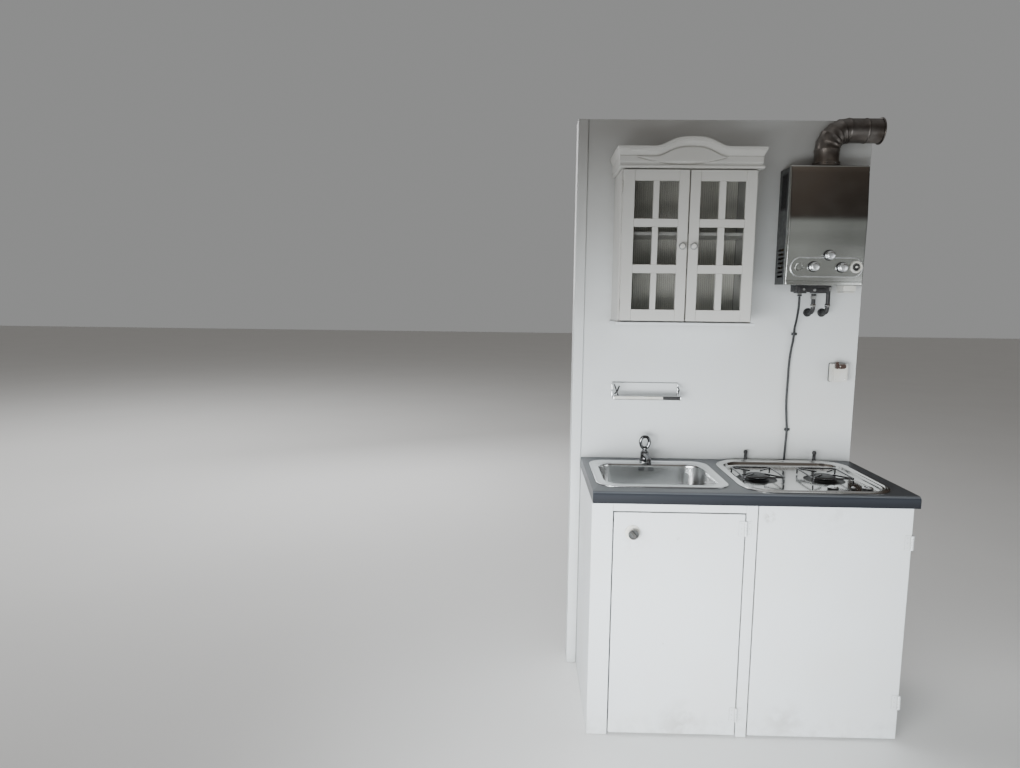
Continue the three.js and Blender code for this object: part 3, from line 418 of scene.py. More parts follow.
acrossWall = (0.02, 1, 1)
alongHeight = (1, 1, 0.02)
finishes = {made.name: SimpleNamespace(material=made, slot=slot) for made, slot in [
    (wallPaint(), "wall_paint"),
    (unitPaint("unitPaint", unitLook), "unit_paint"),
    # the unit's paint made darker and warmer for the wall cabinet: painted shade
    (unitPaint("cabinetPaint", shadedCabinetLook), "unit_paint"),
    # the lining's corners darkened by dirt and painted shade
    (simple("cabinetLining", (0.84, 0.82, 0.74), (0.74, 0.72, 0.65), (60, 4, 0.4, 0.7), None,
            (3, 2, 0.04, (1, 1, 0.1)), rough=0.6, dirt=(4, 1.0, (0.06, 0.05, 0.045))), "unit_paint"),
    (rawPine(), "raw_pine"),
    (laminate("worktopLaminate", *laminateLook["top"]), "worktop_laminate"),
    # a darker copy of the laminate for the front face: painted shade
    (laminate("worktopFrontShaded", *laminateLook["edging"], 0.5, 0.25), "worktop_laminate"),
    (brushedSteel("sinkSteel", (0.70, 0.71, 0.71), 0.2, acrossWall, 0.012, 0.2, 0.3), "sheet_steel"),
    (brushedSteel("coverSteel", (0.56, 0.57, 0.55), 0.15, acrossWall, 0.004, 0.06), "sheet_steel"),
    (brushedSteel("boxSteel", (0.46, 0.47, 0.47), 0.4, alongHeight), "sheet_steel"),
    (brushedSteel("traySteel", (0.70, 0.70, 0.69), 0.12, acrossWall, 0.006, 0.3, 0.25), "sheet_steel"),
    (chrome("polishedChrome", (0.82, 0.83, 0.84)), "bright_chrome"),
    (brushedSteel("satinKnob", (0.90, 0.92, 0.94), 0.3, acrossWall, 0.004, 0.1), "bright_chrome"),
    # a darkened copy of the chrome, standing in for the dark room it reflects: painted reflection
    (chrome("darkReflectionChrome", (0.15, 0.15, 0.155)), "bright_chrome"),
    (darkEnamel(), "dark_case"),
    (flueSheet(), "flue_metal"),
    (simple("blackIron", (0.016, 0.016, 0.017), (0.075, 0.07, 0.065), (9, 5, 0.52, 0.7, 0.0, 0.5),
            (5, 4, 0.3, 0.7, 0.3, 0.6), (1.2, 3, 0.06)), "black_iron"),
    (simple("blackRubber", (0.014, 0.015, 0.017), (0.06, 0.06, 0.062), (8, 5, 0.48, 0.7, 0.0, 0.6),
            (6, 4, 0.3, 0.7, 0.42, 0.64), (1.0, 3, 0.05)), "black_rubber"),
    (simple("dullBrass", (0.62, 0.46, 0.20), (0.26, 0.17, 0.08), (10, 5, 0.4, 0.7),
            (7, 4, 0.3, 0.7, 0.24, 0.5), (2, 3, 0.04), metallic=1.0), "valve_brass"),
    (simple("windowGlass", (0.03, 0.034, 0.033), None, None, (40, 5, 0.45, 0.8, 0.02, 0.12), (180, 1, 0.15),
            Alpha=0.2, Specular_IOR_Level=0.9), "window_glass"),
    (agedPlastic("whitePlastic", (0.70, 0.70, 0.67), (0.64, 0.61, 0.52)), "white_plastic"),
    (agedPlastic("brownPlastic", (0.045, 0.02, 0.012), (0.03, 0.014, 0.01), 0.25), "white_plastic"),
]}
print("materials made:", len(finishes))


# Mesh helpers

def skin(part, rings, wrap=False):
    rows = []
    for ring in rings:
        pinched = all((point - ring[0]).length < 1e-7 for point in ring)
        rows.append([part.verts.new(point) for point in (ring[:1] if pinched else ring)])
    for low, high in zip(rows, rows[1:] + rows[:1] if wrap else rows[1:]):
        count = max(len(low), len(high))
        for i in range(count):
            j = (i + 1) % count
            corners = (low[i % len(low)], low[j % len(low)], high[j % len(high)], high[i % len(high)])
            part.faces.new(list(dict.fromkeys(corners)))
    for row in () if wrap else (rows[0], rows[-1]):
        if len(row) > 2:
            part.faces.new(row)


def soften(part, width, segments=2, angle=28):
    sharp = [e for e in part.edges if e.is_manifold and e.calc_face_angle() > math.radians(angle)]
    bmesh.ops.bevel(
        part, geom=sharp, offset=width * mm, segments=segments, profile=0.5, affect="EDGES",
        clamp_overlap=True,
    )


def absorb(shape, part, tone=0):
    bmesh.ops.recalc_face_normals(part, faces=part.faces)
    for face in part.faces:
        face.material_index = tone
    spare = bpy.data.meshes.new("spare")
    part.to_mesh(spare)
    part.free()
    shape.from_mesh(spare)
    bpy.data.meshes.remove(spare)


def addSkin(shape, rings, wrap=False, tone=0):
    part = bmesh.new()
    skin(part, rings, wrap)
    absorb(shape, part, tone)


def addBar(shape, x, d, z, bevel=1.0, segments=2, tone=0):
    part = bmesh.new()
    low = at(x[0], d[1], z[0])
    high = at(x[1], d[0], z[1])
    placed = Matrix.Translation((low + high) / 2) @ Matrix.Diagonal((*(high - low), 1))
    bmesh.ops.create_cube(part, size=1, matrix=placed)
    if bevel:
        soften(part, bevel, segments)
    absorb(shape, part, tone)


def addPrism(shape, ring, lift, bevel=0.0, segments=2, tone=0):
    part = bmesh.new()
    skin(part, [ring, [point + lift for point in ring]])
    if bevel:
        soften(part, bevel, segments)
    absorb(shape, part, tone)


def addTurned(shape, profile, origin, axis=upward, sides=40, tone=0, flutes=0, fluteDepth=0.0, ring=False):
    # profile is a list of radius and height along the axis, in millimetres;
    # unless it is a ring, its ends are closed
    turn = upward.rotation_difference(Vector(axis)).to_matrix()
    if profile[0][0] and not ring:
        profile = [(0, profile[0][1]), *profile]
    if profile[-1][0] and not ring:
        profile = [*profile, (0, profile[-1][1])]
    rings = []
    for radius, height in profile:
        circle = []
        for i in range(sides):
            angle = 2 * math.pi * i / sides
            dip = fluteDepth * (0.5 - 0.5 * math.cos(flutes * angle)) if radius > fluteDepth else 0
            reach = (radius - dip) * mm
            spot = Vector((reach * math.cos(angle), reach * math.sin(angle), height * mm))
            circle.append(origin + turn @ spot)
        rings.append(circle)
    addSkin(shape, rings, ring, tone)


def sweepRings(path, radii, sides=14, section=None, closed=False, side=None):
    if not isinstance(radii, (list, tuple)):
        radii = [radii] * len(path)
    outline = section or [
        (math.cos(2 * math.pi * i / sides), math.sin(2 * math.pi * i / sides)) for i in range(sides)
    ]
    rings = []
    normal = side
    for i, point in enumerate(path):
        before = path[i - 1] if closed or i else point
        after = path[(i + 1) % len(path)] if closed or i < len(path) - 1 else point
        ahead = (after - before).normalized()
        if normal is None:
            normal = upward.cross(ahead) if abs(ahead.z) < 0.9 else outward.cross(ahead)
        normal = (normal - ahead * normal.dot(ahead)).normalized()
        other = ahead.cross(normal)
        rings.append([point + radii[i] * mm * (a * normal + b * other) for a, b in outline])
    return rings


def addSweep(shape, path, radii, sides=14, closed=False, section=None, side=None):
    addSkin(shape, sweepRings(path, radii, sides, section, closed, side), closed)


def roundedOutline(a0, a1, b0, b1, radius, steps=8):
    corners = (
        (a1 - radius, b0 + radius, -90), (a1 - radius, b1 - radius, 0),
        (a0 + radius, b1 - radius, 90), (a0 + radius, b0 + radius, 180),
    )
    points = []
    for a, b, start in corners:
        for i in range(steps + 1):
            angle = math.radians(start + 90 * i / steps)
            points.append((a + radius * math.cos(angle), b + radius * math.sin(angle)))
    return points


def smoothPath(points, steps=6):
    # centripetal curve through the points
    ends = [2 * points[0] - points[1], *points, 2 * points[-1] - points[-2]]
    path = []
    for group in zip(ends, ends[1:], ends[2:], ends[3:]):
        knots = [0.0]
        for first, second in zip(group, group[1:]):
            knots.append(knots[-1] + math.sqrt((second - first).length))
        for i in range(steps):
            t = knots[1] + (knots[2] - knots[1]) * i / steps
            level = group
            for spans in (zip(knots, knots[1:]), zip(knots, knots[2:]), [knots[1:3]]):
                level = [
                    a.lerp(b, (t - low) / (high - low))
                    for a, b, (low, high) in zip(level, level[1:], spans)
                ]
            path.append(level[0])
    return [*path, points[-1]]


def makePiece(name, shape, *looks, body="root", stands=(), angle=35, weigh=False):
    mesh = bpy.data.meshes.new(name)
    shape.to_mesh(mesh)
    shape.free()
    for look in looks:
        mesh.materials.append(finishes[look].material)
    mesh.shade_smooth()
    mesh.set_sharp_from_angle(angle=math.radians(angle))
    piece = bpy.data.objects.new(name, mesh)
    bpy.context.scene.collection.objects.link(piece)
    if weigh:
        weights = piece.modifiers.new("weights", "WEIGHTED_NORMAL")
        weights.keep_sharp = True
        settle(piece)
    return register(piece, looks[0], body, stands)


def register(piece, look, body, stands):
    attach(piece, body)
    if stands:
        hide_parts(*stands)
    return piece


def settle(piece):
    # turns the modifiers' result into the piece's own mesh
    bpy.context.view_layer.update()
    graph = bpy.context.evaluated_depsgraph_get()
    made = bpy.data.meshes.new_from_object(piece.evaluated_get(graph))
    piece.modifiers.clear()
    piece.data = made


def camel(node):
    first, *rest = node.split("_")
    return first + "".join(word.capitalize() for word in rest)


def nodeShape(node):
    part = bmesh.new()
    part.from_mesh(nodes[node].data)
    bmesh.ops.remove_doubles(part, verts=part.verts, dist=1e-5)
    bmesh.ops.dissolve_limit(part, angle_limit=math.radians(1), verts=part.verts, edges=part.edges)
    return part


def dress(node, look, width, segments=2):
    # the same board or casting with its edges rounded off
    part = nodeShape(node)
    soften(part, width, segments)
    shape = bmesh.new()
    absorb(shape, part)
    makePiece(camel(node), shape, look, stands=(node,), weigh=True)


# Geometry Nodes trees

def startTree(name, **sockets):
    tree = bpy.data.node_groups.new(name, "GeometryNodeTree")
    for label, kind in {"Geometry": "Geometry", **sockets, "material": "Material"}.items():
        tree.interface.new_socket(label, in_out="INPUT", socket_type="NodeSocket" + kind)
    tree.interface.new_socket("Geometry", in_out="OUTPUT", socket_type="NodeSocketGeometry")
    return partial(addNode, tree), tree.nodes.new("NodeGroupInput").outputs


def endTree(put, given, geometry):
    real = put("GeometryNodeRealizeInstances", {"Geometry": geometry})
    painted = put("GeometryNodeSetMaterial", {"Geometry": real, "Material": given["material"]})
    put("NodeGroupOutput", {0: painted})
    return painted.id_data


def screwTree():
    # a cross-slotted head on each point, facing along the point's "facing"
    put, given = startTree(
        "screwHeads", headRadius="Float", headHeight="Float", slotWidth="Float", seed="Int",
    )
    radius, height, width = given["headRadius"], given["headHeight"], given["slotWidth"]
    crown = put("ShaderNodeMath", {0: radius, 1: 0.72}, operation="MULTIPLY")
    head = put("GeometryNodeMeshCone", {
        "Vertices": 14, "Radius Top": crown, "Radius Bottom": radius, "Depth": height,
    })
    length = put("ShaderNodeMath", {0: radius, 1: 1.1}, operation="MULTIPLY")
    lift = put("ShaderNodeCombineXYZ", {2: height})
    slots = []
    for sides in ((length, width), (width, length)):
        size = put("ShaderNodeCombineXYZ", {0: sides[0], 1: sides[1], 2: height})
        cube = put("GeometryNodeMeshCube", {"Size": size})
        slots.append(put("GeometryNodeTransform", {"Geometry": cube, "Translation": lift}))
    cross = put("GeometryNodeJoinGeometry", {0: slots})
    cut = put("GeometryNodeMeshBoolean", {"Mesh 1": head, "Mesh 2": cross}, operation="DIFFERENCE")
    facing = put("GeometryNodeInputNamedAttribute", {"Name": "facing"}, data_type="FLOAT_VECTOR")
    turn = put("FunctionNodeAlignRotationToVector", {"Vector": facing}, axis="Z")
    chance = put("FunctionNodeRandomValue", {"Seed": given["seed"]}, 1, data_type="FLOAT")
    angle = put("ShaderNodeMath", {0: chance, 1: math.pi}, operation="MULTIPLY")
    spin = put("FunctionNodeEulerToRotation", {0: put("ShaderNodeCombineXYZ", {2: angle})})
    both = put("FunctionNodeRotateRotation", {"Rotation": turn, "Rotate By": spin}, rotation_space="LOCAL")
    placed = put(
        "GeometryNodeInstanceOnPoints", {"Points": given["Geometry"], "Instance": cut, "Rotation": both},
    )
    return endTree(put, given, placed)


def wireTree():
    # a round wire along every run of edges, with its bends rounded
    put, given = startTree("bentWire", wireRadius="Float", bendRadius="Float", sides="Int")
    line = put("GeometryNodeMeshToCurve", {"Mesh": given["Geometry"]})
    bent = put("GeometryNodeFilletCurve", {
        "Curve": line, "Radius": given["bendRadius"], "Limit Radius": True, "Count": 5,
    }, mode="POLY")
    circle = put(
        "GeometryNodeCurvePrimitiveCircle", {"Radius": given["wireRadius"], "Resolution": given["sides"]},
    )
    wire = put("GeometryNodeCurveToMesh", {"Curve": bent, "Profile Curve": circle, "Fill Caps": True})
    return endTree(put, given, put("GeometryNodeSetShadeSmooth", {"Geometry": wire}))


def crownTree():
    # a ring of teeth about a centre, as on a burner's flame spreader
    put, given = startTree("toothRing", ringRadius="Float", teeth="Int", toothSize="Vector", centre="Vector")
    ring = put("GeometryNodeMeshCircle", {"Vertices": given["teeth"], "Radius": given["ringRadius"]})
    turn = put("FunctionNodeAlignRotationToVector", {"Vector": put("GeometryNodeInputPosition")}, axis="X")
    tooth = put("GeometryNodeMeshCube", {"Size": given["toothSize"]})
    teeth = put("GeometryNodeInstanceOnPoints", {"Points": ring, "Instance": tooth, "Rotation": turn})
    moved = put("GeometryNodeTransform", {"Geometry": teeth, "Translation": given["centre"]})
    return endTree(put, given, moved)


def slatTree():
    # a row of tilted slats from a starting place, each a step further on
    put, given = startTree(
        "slatRow", count="Int", step="Vector", slatSize="Vector", tilt="Vector", start="Vector",
    )
    line = put("GeometryNodeMeshLine", {
        "Count": given["count"], "Start Location": given["start"], "Offset": given["step"],
    })
    slat = put("GeometryNodeMeshCube", {"Size": given["slatSize"]})
    turn = put("FunctionNodeEulerToRotation", {0: given["tilt"]})
    row = put("GeometryNodeInstanceOnPoints", {"Points": line, "Instance": slat, "Rotation": turn})
    return endTree(put, given, row)


trees = {"screws": screwTree(), "wires": wireTree(), "crown": crownTree(), "slats": slatTree()}
print("node trees built:", len(trees))


def grow(name, mesh, tree, look, body="root", stands=(), **values):
    piece = bpy.data.objects.new(name, mesh)
    bpy.context.scene.collection.objects.link(piece)
    maker = piece.modifiers.new("maker", "NODES")
    maker.node_group = trees[tree]
    values["material"] = finishes[look].material
    for item in trees[tree].interface.items_tree:
        if item.in_out == "INPUT" and item.name in values:
            maker[item.identifier] = values[item.name]
    settle(piece)
    piece.data.name = name
    return register(piece, look, body, stands)


def wireMesh(runs):
    points = [point for run in runs for point in run]
    edges = []
    start = 0
    for run in runs:
        edges += [(start + i, start + i + 1) for i in range(len(run) - 1)]
        start += len(run)
    mesh = bpy.data.meshes.new("runs")
    mesh.from_pydata(points, edges, [])
    return mesh


def screws(name, points, facing=outward, radius=3.2, look="polishedChrome", body="root"):
    mesh = bpy.data.meshes.new("points")
    mesh.from_pydata(points, [], [])
    for entry in mesh.attributes.new("facing", "FLOAT_VECTOR", "POINT").data:
        entry.vector = facing
    grow(name, mesh, "screws", look, body, headRadius=radius * mm, headHeight=0.35 * radius * mm,
         slotWidth=0.28 * radius * mm, seed=len(points))


# Gas hose: the same route as in the part's source

hose = {
    "radius": 4.3,
    "route": [
        (815, 66, 1535.6), (815, 66, 1515), (816, 60, 1484), (819, 40, 1444), (822, 18, 1412),
        (824, 10, 1389), (822, 9, 1362), (817, 9, 1329), (812, 9, 1270), (811, 9, 1209), (810, 9, 1129),
        (814, 9, 1060), (818, 10, 1007), (817, 10, 960), (815, 11, 920), (814, 11, 880), (814, 11, 840),
        (814, 14, 780), (814, 20, 730), (814, 22, 690.3),
    ],
}


def buildHose():
    path = smoothPath([at(*point) for point in hose["route"]])
    shape = bmesh.new()
    addSweep(shape, path, hose["radius"], sides=16)
    piece = makePiece("gasHose", shape, "blackRubber", stands=("gas_hose",))


# Bulkhead and the boards that keep the shape of their node

boards = [  # node, finish, edge width, segments
    ("bulkhead_lining", "wallPaint", 1.5, 2),
    ("bulkhead_frame", "rawPine", 1.5, 2),
    ("bulkhead_boards", "wallPaint", 0.8, 2),
    ("bulkhead_end_post", "wallPaint", 3.5, 3),
    ("base_side_left", "unitPaint", 1.2, 2),
    ("base_floor", "unitPaint", 1.2, 2),
    ("base_divider", "unitPaint", 1.0, 2),
    ("base_shelf", "unitPaint", 1.5, 2),
    ("stile_left", "unitPaint", 1.8, 3),
    ("rail_top", "unitPaint", 1.2, 2),
    ("hob_box", "boxSteel", 0.8, 2),
    ("cabinet_side_left", "cabinetPaint", 1.2, 2),
    ("cabinet_side_right", "cabinetPaint", 1.2, 2),
    ("cabinet_bottom", "unitPaint", 2.0, 3),
    ("cabinet_ledge", "cabinetPaint", 3.2, 3),
    ("cabinet_shelf_lower", "cabinetPaint", 1.5, 2),
    ("cabinet_shelf_upper", "cabinetPaint", 1.5, 2),
    ("heater_core", "dullBrass", 2.0, 2),
    ("gas_cock", "dullBrass", 0.5, 2),
]
nailing = {"rows": 16, "studs": (22, 540, 1058), "apart": 76, "radius": 2.6}


def buildBoards():
    for node, look, width, segments in boards:
        dress(node, look, width, segments)
    rear = extent("bulkhead_boards")
    pitch = rear.head / nailing["rows"]
    nails = [
        at(x, rear.back, (row + 0.5) * pitch + side * nailing["apart"] / 2)
        for row in range(nailing["rows"]) for x in nailing["studs"] for side in (-1, 1)
    ]
    screws("boardNails", nails, -outward, nailing["radius"], "wallPaint")


# Base unit: face frame, doors with butt hinges, latch

hinge = {"radius": 4.0, "proud": 5.0, "knuckles": 5, "gap": 0.5, "ease": 0.4, "leaf": 2.0,
         "screws": (0.15, 0.5, 0.85)}  # the screws' places along a leaf
leftHinges = {"x": 518, "spans": [(60, 110), (728, 780)]}
rightHinges = {"x": 1073, "spans": [(120, 170), (690, 740)]}
baseDoors = [("left", leftHinges, (76, 516), (8, 803)), ("right", rightHinges, (561, 1074), (8, 835))]
baseDoorLook = {"thick": 18, "edge": 1.7}
sidePanel = {"thick": 18, "front": 466, "setBack": 30}
latch = {"x": 140, "z": 733, "plate": 26, "knob": 17.5, "proud": 26, "turn": -38}


def addKnuckles(shape, x, d, span, radius, count, moving):
    # every other knuckle belongs to the moving leaf
    length = (span[1] - span[0]) / count
    ease = hinge["ease"]
    for i in range(moving, count, 2):
        low = span[0] + i * length + hinge["gap"] / 2
        tall = length - hinge["gap"]
        profile = [(radius - ease, 0), (radius, ease), (radius, tall - ease), (radius - ease, tall)]
        addTurned(shape, profile, at(x, d, low), sides=20)


def addButtHinges(shape, hinges, face, moving):
    # the knuckles of one half of each hinge
    for span in hinges["spans"]:
        addKnuckles(
            shape, hinges["x"], face + hinge["proud"], span, hinge["radius"], hinge["knuckles"], moving,
        )


def leafScrews(x, d, spans):
    return [at(x, d, low + share * (high - low)) for low, high in spans for share in hinge["screws"]]


def buildBase():
    face = extent("stile_left").front
    centre = extent("stile_centre")
    x = leftHinges["x"]
    shape = bmesh.new()
    addBar(shape, (centre.left, centre.right), (centre.back, face), (0, centre.head), 1.6, 3)
    for span in leftHinges["spans"]:
        addBar(shape, (x + 3, x + 20), (face - 1, face + 1.5), span, 0.6)
    addButtHinges(shape, leftHinges, face, False)
    makePiece("stileCentre", shape, "unitPaint", stands=("stile_centre",), weigh=True)
    screws("centreStileScrews", leafScrews(x + 13, face + 1.5, leftHinges["spans"]), look="unitPaint")

    side = extent("base_side_right")
    shape = bmesh.new()
    wide = (side.right - sidePanel["thick"], side.right)
    addBar(shape, wide, (0.3, sidePanel["front"]), (0, side.head), 1.2)
    for span in rightHinges["spans"]:
        leaf = (side.front - sidePanel["setBack"], face + 5)
        addBar(shape, (side.right - 1.5, side.right), leaf, span, 0.4)
    addButtHinges(shape, rightHinges, face, False)
    makePiece("baseSideRight", shape, "unitPaint", stands=("base_side_right",), weigh=True)

    for name, hinges, across, tall in baseDoors:
        body = f"base_door_{name}"
        x, d = hinges["x"], face + hinge["leaf"]
        shape = bmesh.new()
        addBar(shape, across, (face - baseDoorLook["thick"], face), tall, baseDoorLook["edge"], 3)
        for span in hinges["spans"]:
            addBar(shape, (x - 22, x - 2), (face - 1, d), span, 0.6)
        addButtHinges(shape, hinges, face, True)
        makePiece(camel(body), shape, "unitPaint", body=body, stands=(f"{body}_panel",), weigh=True)
        screws(f"{camel(body)}Screws", leafScrews(x - 14, d, hinges["spans"]), look="unitPaint", body=body)


def buildLatch():
    origin = at(latch["x"], extent("stile_left").front + 0.3, latch["z"])
    plate, knob, proud = latch["plate"], latch["knob"], latch["proud"]
    shape = bmesh.new()
    addTurned(shape, [(plate, 0), (plate, 1.2), (plate - 2, 2.6), (19.5, 3.2)], origin, outward, 56, tone=2)
    # the cup is in dark enamel: painted shade for the dark ring round the grip
    cup = [(10.5, 3), (9.5, 12), (knob - 1, 17), (knob, 18.5), (knob, proud - 3.5), (knob - 1.2, proud - 2),
           (knob - 3, proud - 2), (knob - 4.2, proud - 7), (0, proud - 7.4)]
    addTurned(shape, cup, origin, outward, 56, tone=1)
    grip = Matrix.Rotation(math.radians(latch["turn"]), 3, "Y")
    bar = [origin + grip @ Vector((a * mm, 0, b * mm)) + outward * (proud - 8) * mm
           for a, b in roundedOutline(-4.6, 4.6, -(knob - 3.4), knob - 3.4, 4.4, 5)]
    addPrism(shape, bar, outward * 7.4 * mm, 1.2, 3)
    makePiece("doorLatch", shape, "polishedChrome", "darkEnamel", "whitePlastic", body="base_door_left",
              stands=("base_door_left_latch",), angle=30)


# Worktop, its front face in a darker copy of the laminate as painted shade

def buildWorktop():
    shape = bmesh.new()
    absorb(shape, nodeShape("worktop"))
    # the front faces take the darker copy of the laminate as painted shade
    edgeLine = extent("worktop").front - 3
    for face in shape.faces:
        middle = face.calc_center_median()
        if (wallFace - middle.y) / mm > edgeLine and face.normal.y < -0.6:
            face.material_index = 1
    makePiece("worktopSlab", shape, "worktopLaminate", "worktopFrontShaded", stands=("worktop",), angle=32)


# Sink, waste, trap and tap

sinkLook = {
    "corner": 62, "bowlCorner": 60, "sheet": 1.4, "fillet": 26, "draft": 4, "drain": (252.5, 264.5),
    "floor": 732,
    "edge": [  # distance in from the rim's outline, and height from its top
        (0, -3.4), (0, -1.8), (0.8, -0.6), (2.4, 0), (4.6, 0), (6.6, -0.8), (8.4, -2.2), (11, -2.9)],
    "lip": [  # the same from the bowl's outline
        (-12, -3.0), (-9.5, -2.2), (-7, -0.7), (-4.6, -0.6), (-2, -3.2), (-0.3, -8), (0.3, -14)],
    "drainSteps": [(-34, 0.7, 58), (-16, 0.2, 40), (0.5, 0.0, 24)],  # inset, height over the floor, corner
    "slots": [(x, z) for x in (227, 263) for z in (858, 866)],
}
sinkRim = SimpleNamespace(left=22, right=482, back=62, front=451)
sinkBowl = SimpleNamespace(left=55, right=450, back=112, front=417)


def insetRing(box, inset, z, corner, arc=10):
    outline = roundedOutline(box.left + inset, box.right - inset, box.back + inset, box.front - inset,
                             max(corner - inset, 4), arc)
    return [at(x, d, z) for x, d in outline]


def buildSink():
    look = SimpleNamespace(**sinkLook)
    top = extent("sink").head
    drainX, drainD = look.drain
    drain = SimpleNamespace(left=drainX - 24, right=drainX + 24, back=drainD - 24, front=drainD + 24)
    upper = [insetRing(sinkRim, inset, top + rise, look.corner) for inset, rise in look.edge]
    upper += [insetRing(sinkBowl, inset, top + rise, look.bowlCorner) for inset, rise in look.lip]
    floor = look.floor + 3
    upper.append(insetRing(sinkBowl, look.draft * 0.8, floor + look.fillet, look.bowlCorner))
    for step in range(1, 8):
        angle = math.radians(90 * step / 7)
        inset = look.draft + look.fillet * (1 - math.cos(angle))
        level = floor + look.fillet * (1 - math.sin(angle))
        upper.append(insetRing(sinkBowl, inset, level, look.bowlCorner + 12))
    upper += [insetRing(drain, inset, look.floor + rise, corner) for inset, rise, corner in look.drainSteps]
    lower = [[point - upward * look.sheet * mm for point in ring] for ring in upper[8:]]
    middle = at(drainX, drainD, 0)
    for index, ring in enumerate(lower[:-3]):  # the walls' outer faces also stand out sideways
        lower[index] = [
            point + Vector((point.x - middle.x, point.y - middle.y, 0)).normalized() * look.sheet * mm * 0.8
            for point in ring
        ]
    under = [insetRing(sinkRim, 0.4, top - 3.5, look.corner), insetRing(sinkRim, 9, top - 3.3, look.corner)]
    shape = bmesh.new()
    addSkin(shape, [*upper, *reversed(lower), *reversed(under)], wrap=True)
    sink = makePiece("sinkBowl", shape, "sinkSteel", angle=50)
    holes = bmesh.new()
    for x, z in look.slots:
        slot = [at(x + a, sinkBowl.back - 12, z + b) for a, b in roundedOutline(-12, 12, -2.7, 2.7, 2.6, 5)]
        addPrism(holes, slot, outward * 30 * mm)
    carve(sink, holes)
    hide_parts("sink")

    shape = bmesh.new()
    overflow = [at(x, sinkBowl.back - 15, z) for x, z in roundedOutline(206, 284, 846, 872, 10, 6)]
    addPrism(shape, overflow, outward * 11 * mm, 2)
    makePiece("overflowBox", shape, "darkEnamel")
    shape = bmesh.new()
    seat = [(23.4, 0.3), (24, 1), (24, 2.6), (23.2, 3.4), (21.8, 3.7)]
    addTurned(shape, seat, at(tap["x"], tap["d"], 880), sides=48)
    makePiece("tapSeat", shape, "sinkSteel")


def carve(piece, cutter):
    mesh = bpy.data.meshes.new("cutter")
    cutter.to_mesh(mesh)
    cutter.free()
    tool = bpy.data.objects.new("cutter", mesh)
    bpy.context.scene.collection.objects.link(tool)
    cut = piece.modifiers.new("cut", "BOOLEAN")
    cut.operation = "DIFFERENCE"
    cut.solver = "EXACT"
    cut.object = tool
    settle(piece)
    bpy.data.objects.remove(tool)


waste = {
    "flange": [(16, -92), (16, -34), (34, -34), (34, -3), (23, -3), (23, 0.3), (40, 0.4), (41.8, 1.2),
               (41, 2.6), (38, 3), (26, 1.4), (23, 0.9), (22, -1.2), (0, -1.4)],
    "holes": [(8, 6), (15.5, 12)],  # radius of each ring of holes, and how many
    "bottle": [(22, -82), (24, -80), (30, -74), (30, -50), (31.5, -49), (31.5, -42), (30, -41), (30, -12),
               (28, -9), (21, -1), (18, 0)],
    "drop": 92.3, "outlet": 34,
}


def buildWaste():
    drainX, drainD = sinkLook["drain"]
    origin = at(drainX, drainD, sinkLook["floor"])
    shape = bmesh.new()
    addTurned(shape, waste["flange"], origin, sides=56)
    # the holes are dark discs set in the flange, not cut: painted shade for the inside of each hole
    for ring, count in waste["holes"]:
        for i in range(count):
            angle = 2 * math.pi * i / count
            spot = origin + Vector((ring * math.cos(angle), ring * math.sin(angle), -1.3)) * mm
            addTurned(shape, [(1.7, -0.2), (1.7, 0.35)], spot, sides=12, tone=1)
    makePiece("sinkWaste", shape, "polishedChrome", "darkEnamel", stands=("sink_waste",))

    trapHead = sinkLook["floor"] - waste["drop"]
    outlet = trapHead - waste["outlet"]
    shape = bmesh.new()
    addTurned(shape, waste["bottle"], at(drainX, drainD, trapHead))
    addSweep(shape, [at(drainX, d, outlet) for d in (drainD, 200, 100, 0.3)], 16, sides=28)
    addTurned(shape, [(21, 0), (21, 16), (19, 18)], at(drainX, drainD - 31, outlet), outward, 12)
    makePiece("sinkTrap", shape, "whitePlastic", stands=("sink_trap",))


tap = {
    "x": 247, "d": 59, "ring": 20, "barrel": 16.5, "top": 923, "wire": 6.3, "loopWidth": 47, "loopHead": 984,
    "spout": [(4, 902), (24, 909.5), (56, 914), (82, 912), (96, 904), (99, 897)],  # outwards, height
    "nozzle": [(6.4, -11), (7.2, -10.4), (8.8, -10), (9.4, -9), (9.4, -1), (8.6, 0)],
    "stem": [(10, 0.4), (10, 3), (8.6, 5), (6.6, 7), (6.2, 12)],
}


def buildTap():
    foot = extent("tap_body").foot
    rise = tap["top"] - foot
    x, d, ring, barrel = tap["x"], tap["d"], tap["ring"], tap["barrel"]
    shape = bmesh.new()
    profile = [
        (ring - 0.6, 0), (ring, 0.8), (ring, 3), (ring - 1.5, 4.6), (barrel + 2.4, 5.6), (barrel + 0.6, 7.4),
        (barrel, 10), (barrel, rise * 0.42), (barrel - 0.8, rise * 0.44), (barrel - 0.8, rise * 0.47),
        (barrel, rise * 0.49), (barrel, rise - 9), (barrel - 1.2, rise - 5.5), (barrel - 4, rise - 2),
        (barrel - 6, rise),
    ]
    addTurned(shape, profile, at(x, d, foot), sides=56)
    spout = smoothPath([at(x, d + out, z) for out, z in tap["spout"]], 7)
    addSweep(shape, spout, [10.4 - 1.9 * i / len(spout) for i in range(len(spout))], sides=28)
    addTurned(shape, tap["nozzle"], at(x, d + 99.2, 899), sides=36, flutes=18, fluteDepth=0.25)
    makePiece("tapBody", shape, "darkReflectionChrome", stands=("tap_body",))

    shape = bmesh.new()
    addTurned(shape, tap["stem"], at(x, d, tap["top"]))
    low = tap["top"] + 11
    half = tap["loopWidth"] / 2 - 6.4
    high = tap["loopHead"] - 6.4
    loop = smoothPath([at(x + a, d, z) for a, z in (
        (0, low), (-10, low + 3), (-half + 1, low + 16), (-half, low + 28),
        (-half + 5, high - 4), (-8, high), (8, high), (half - 5, high - 4),
        (half, low + 28), (half - 1, low + 16), (10, low + 3),
    )], 5)
    addSweep(shape, loop, tap["wire"], sides=18, closed=True)
    makePiece("tapLever", shape, "darkReflectionChrome", stands=("tap_lever",))
    print("sink and tap made")


# Hob: tray, burners, wire supports, controls, lid pegs

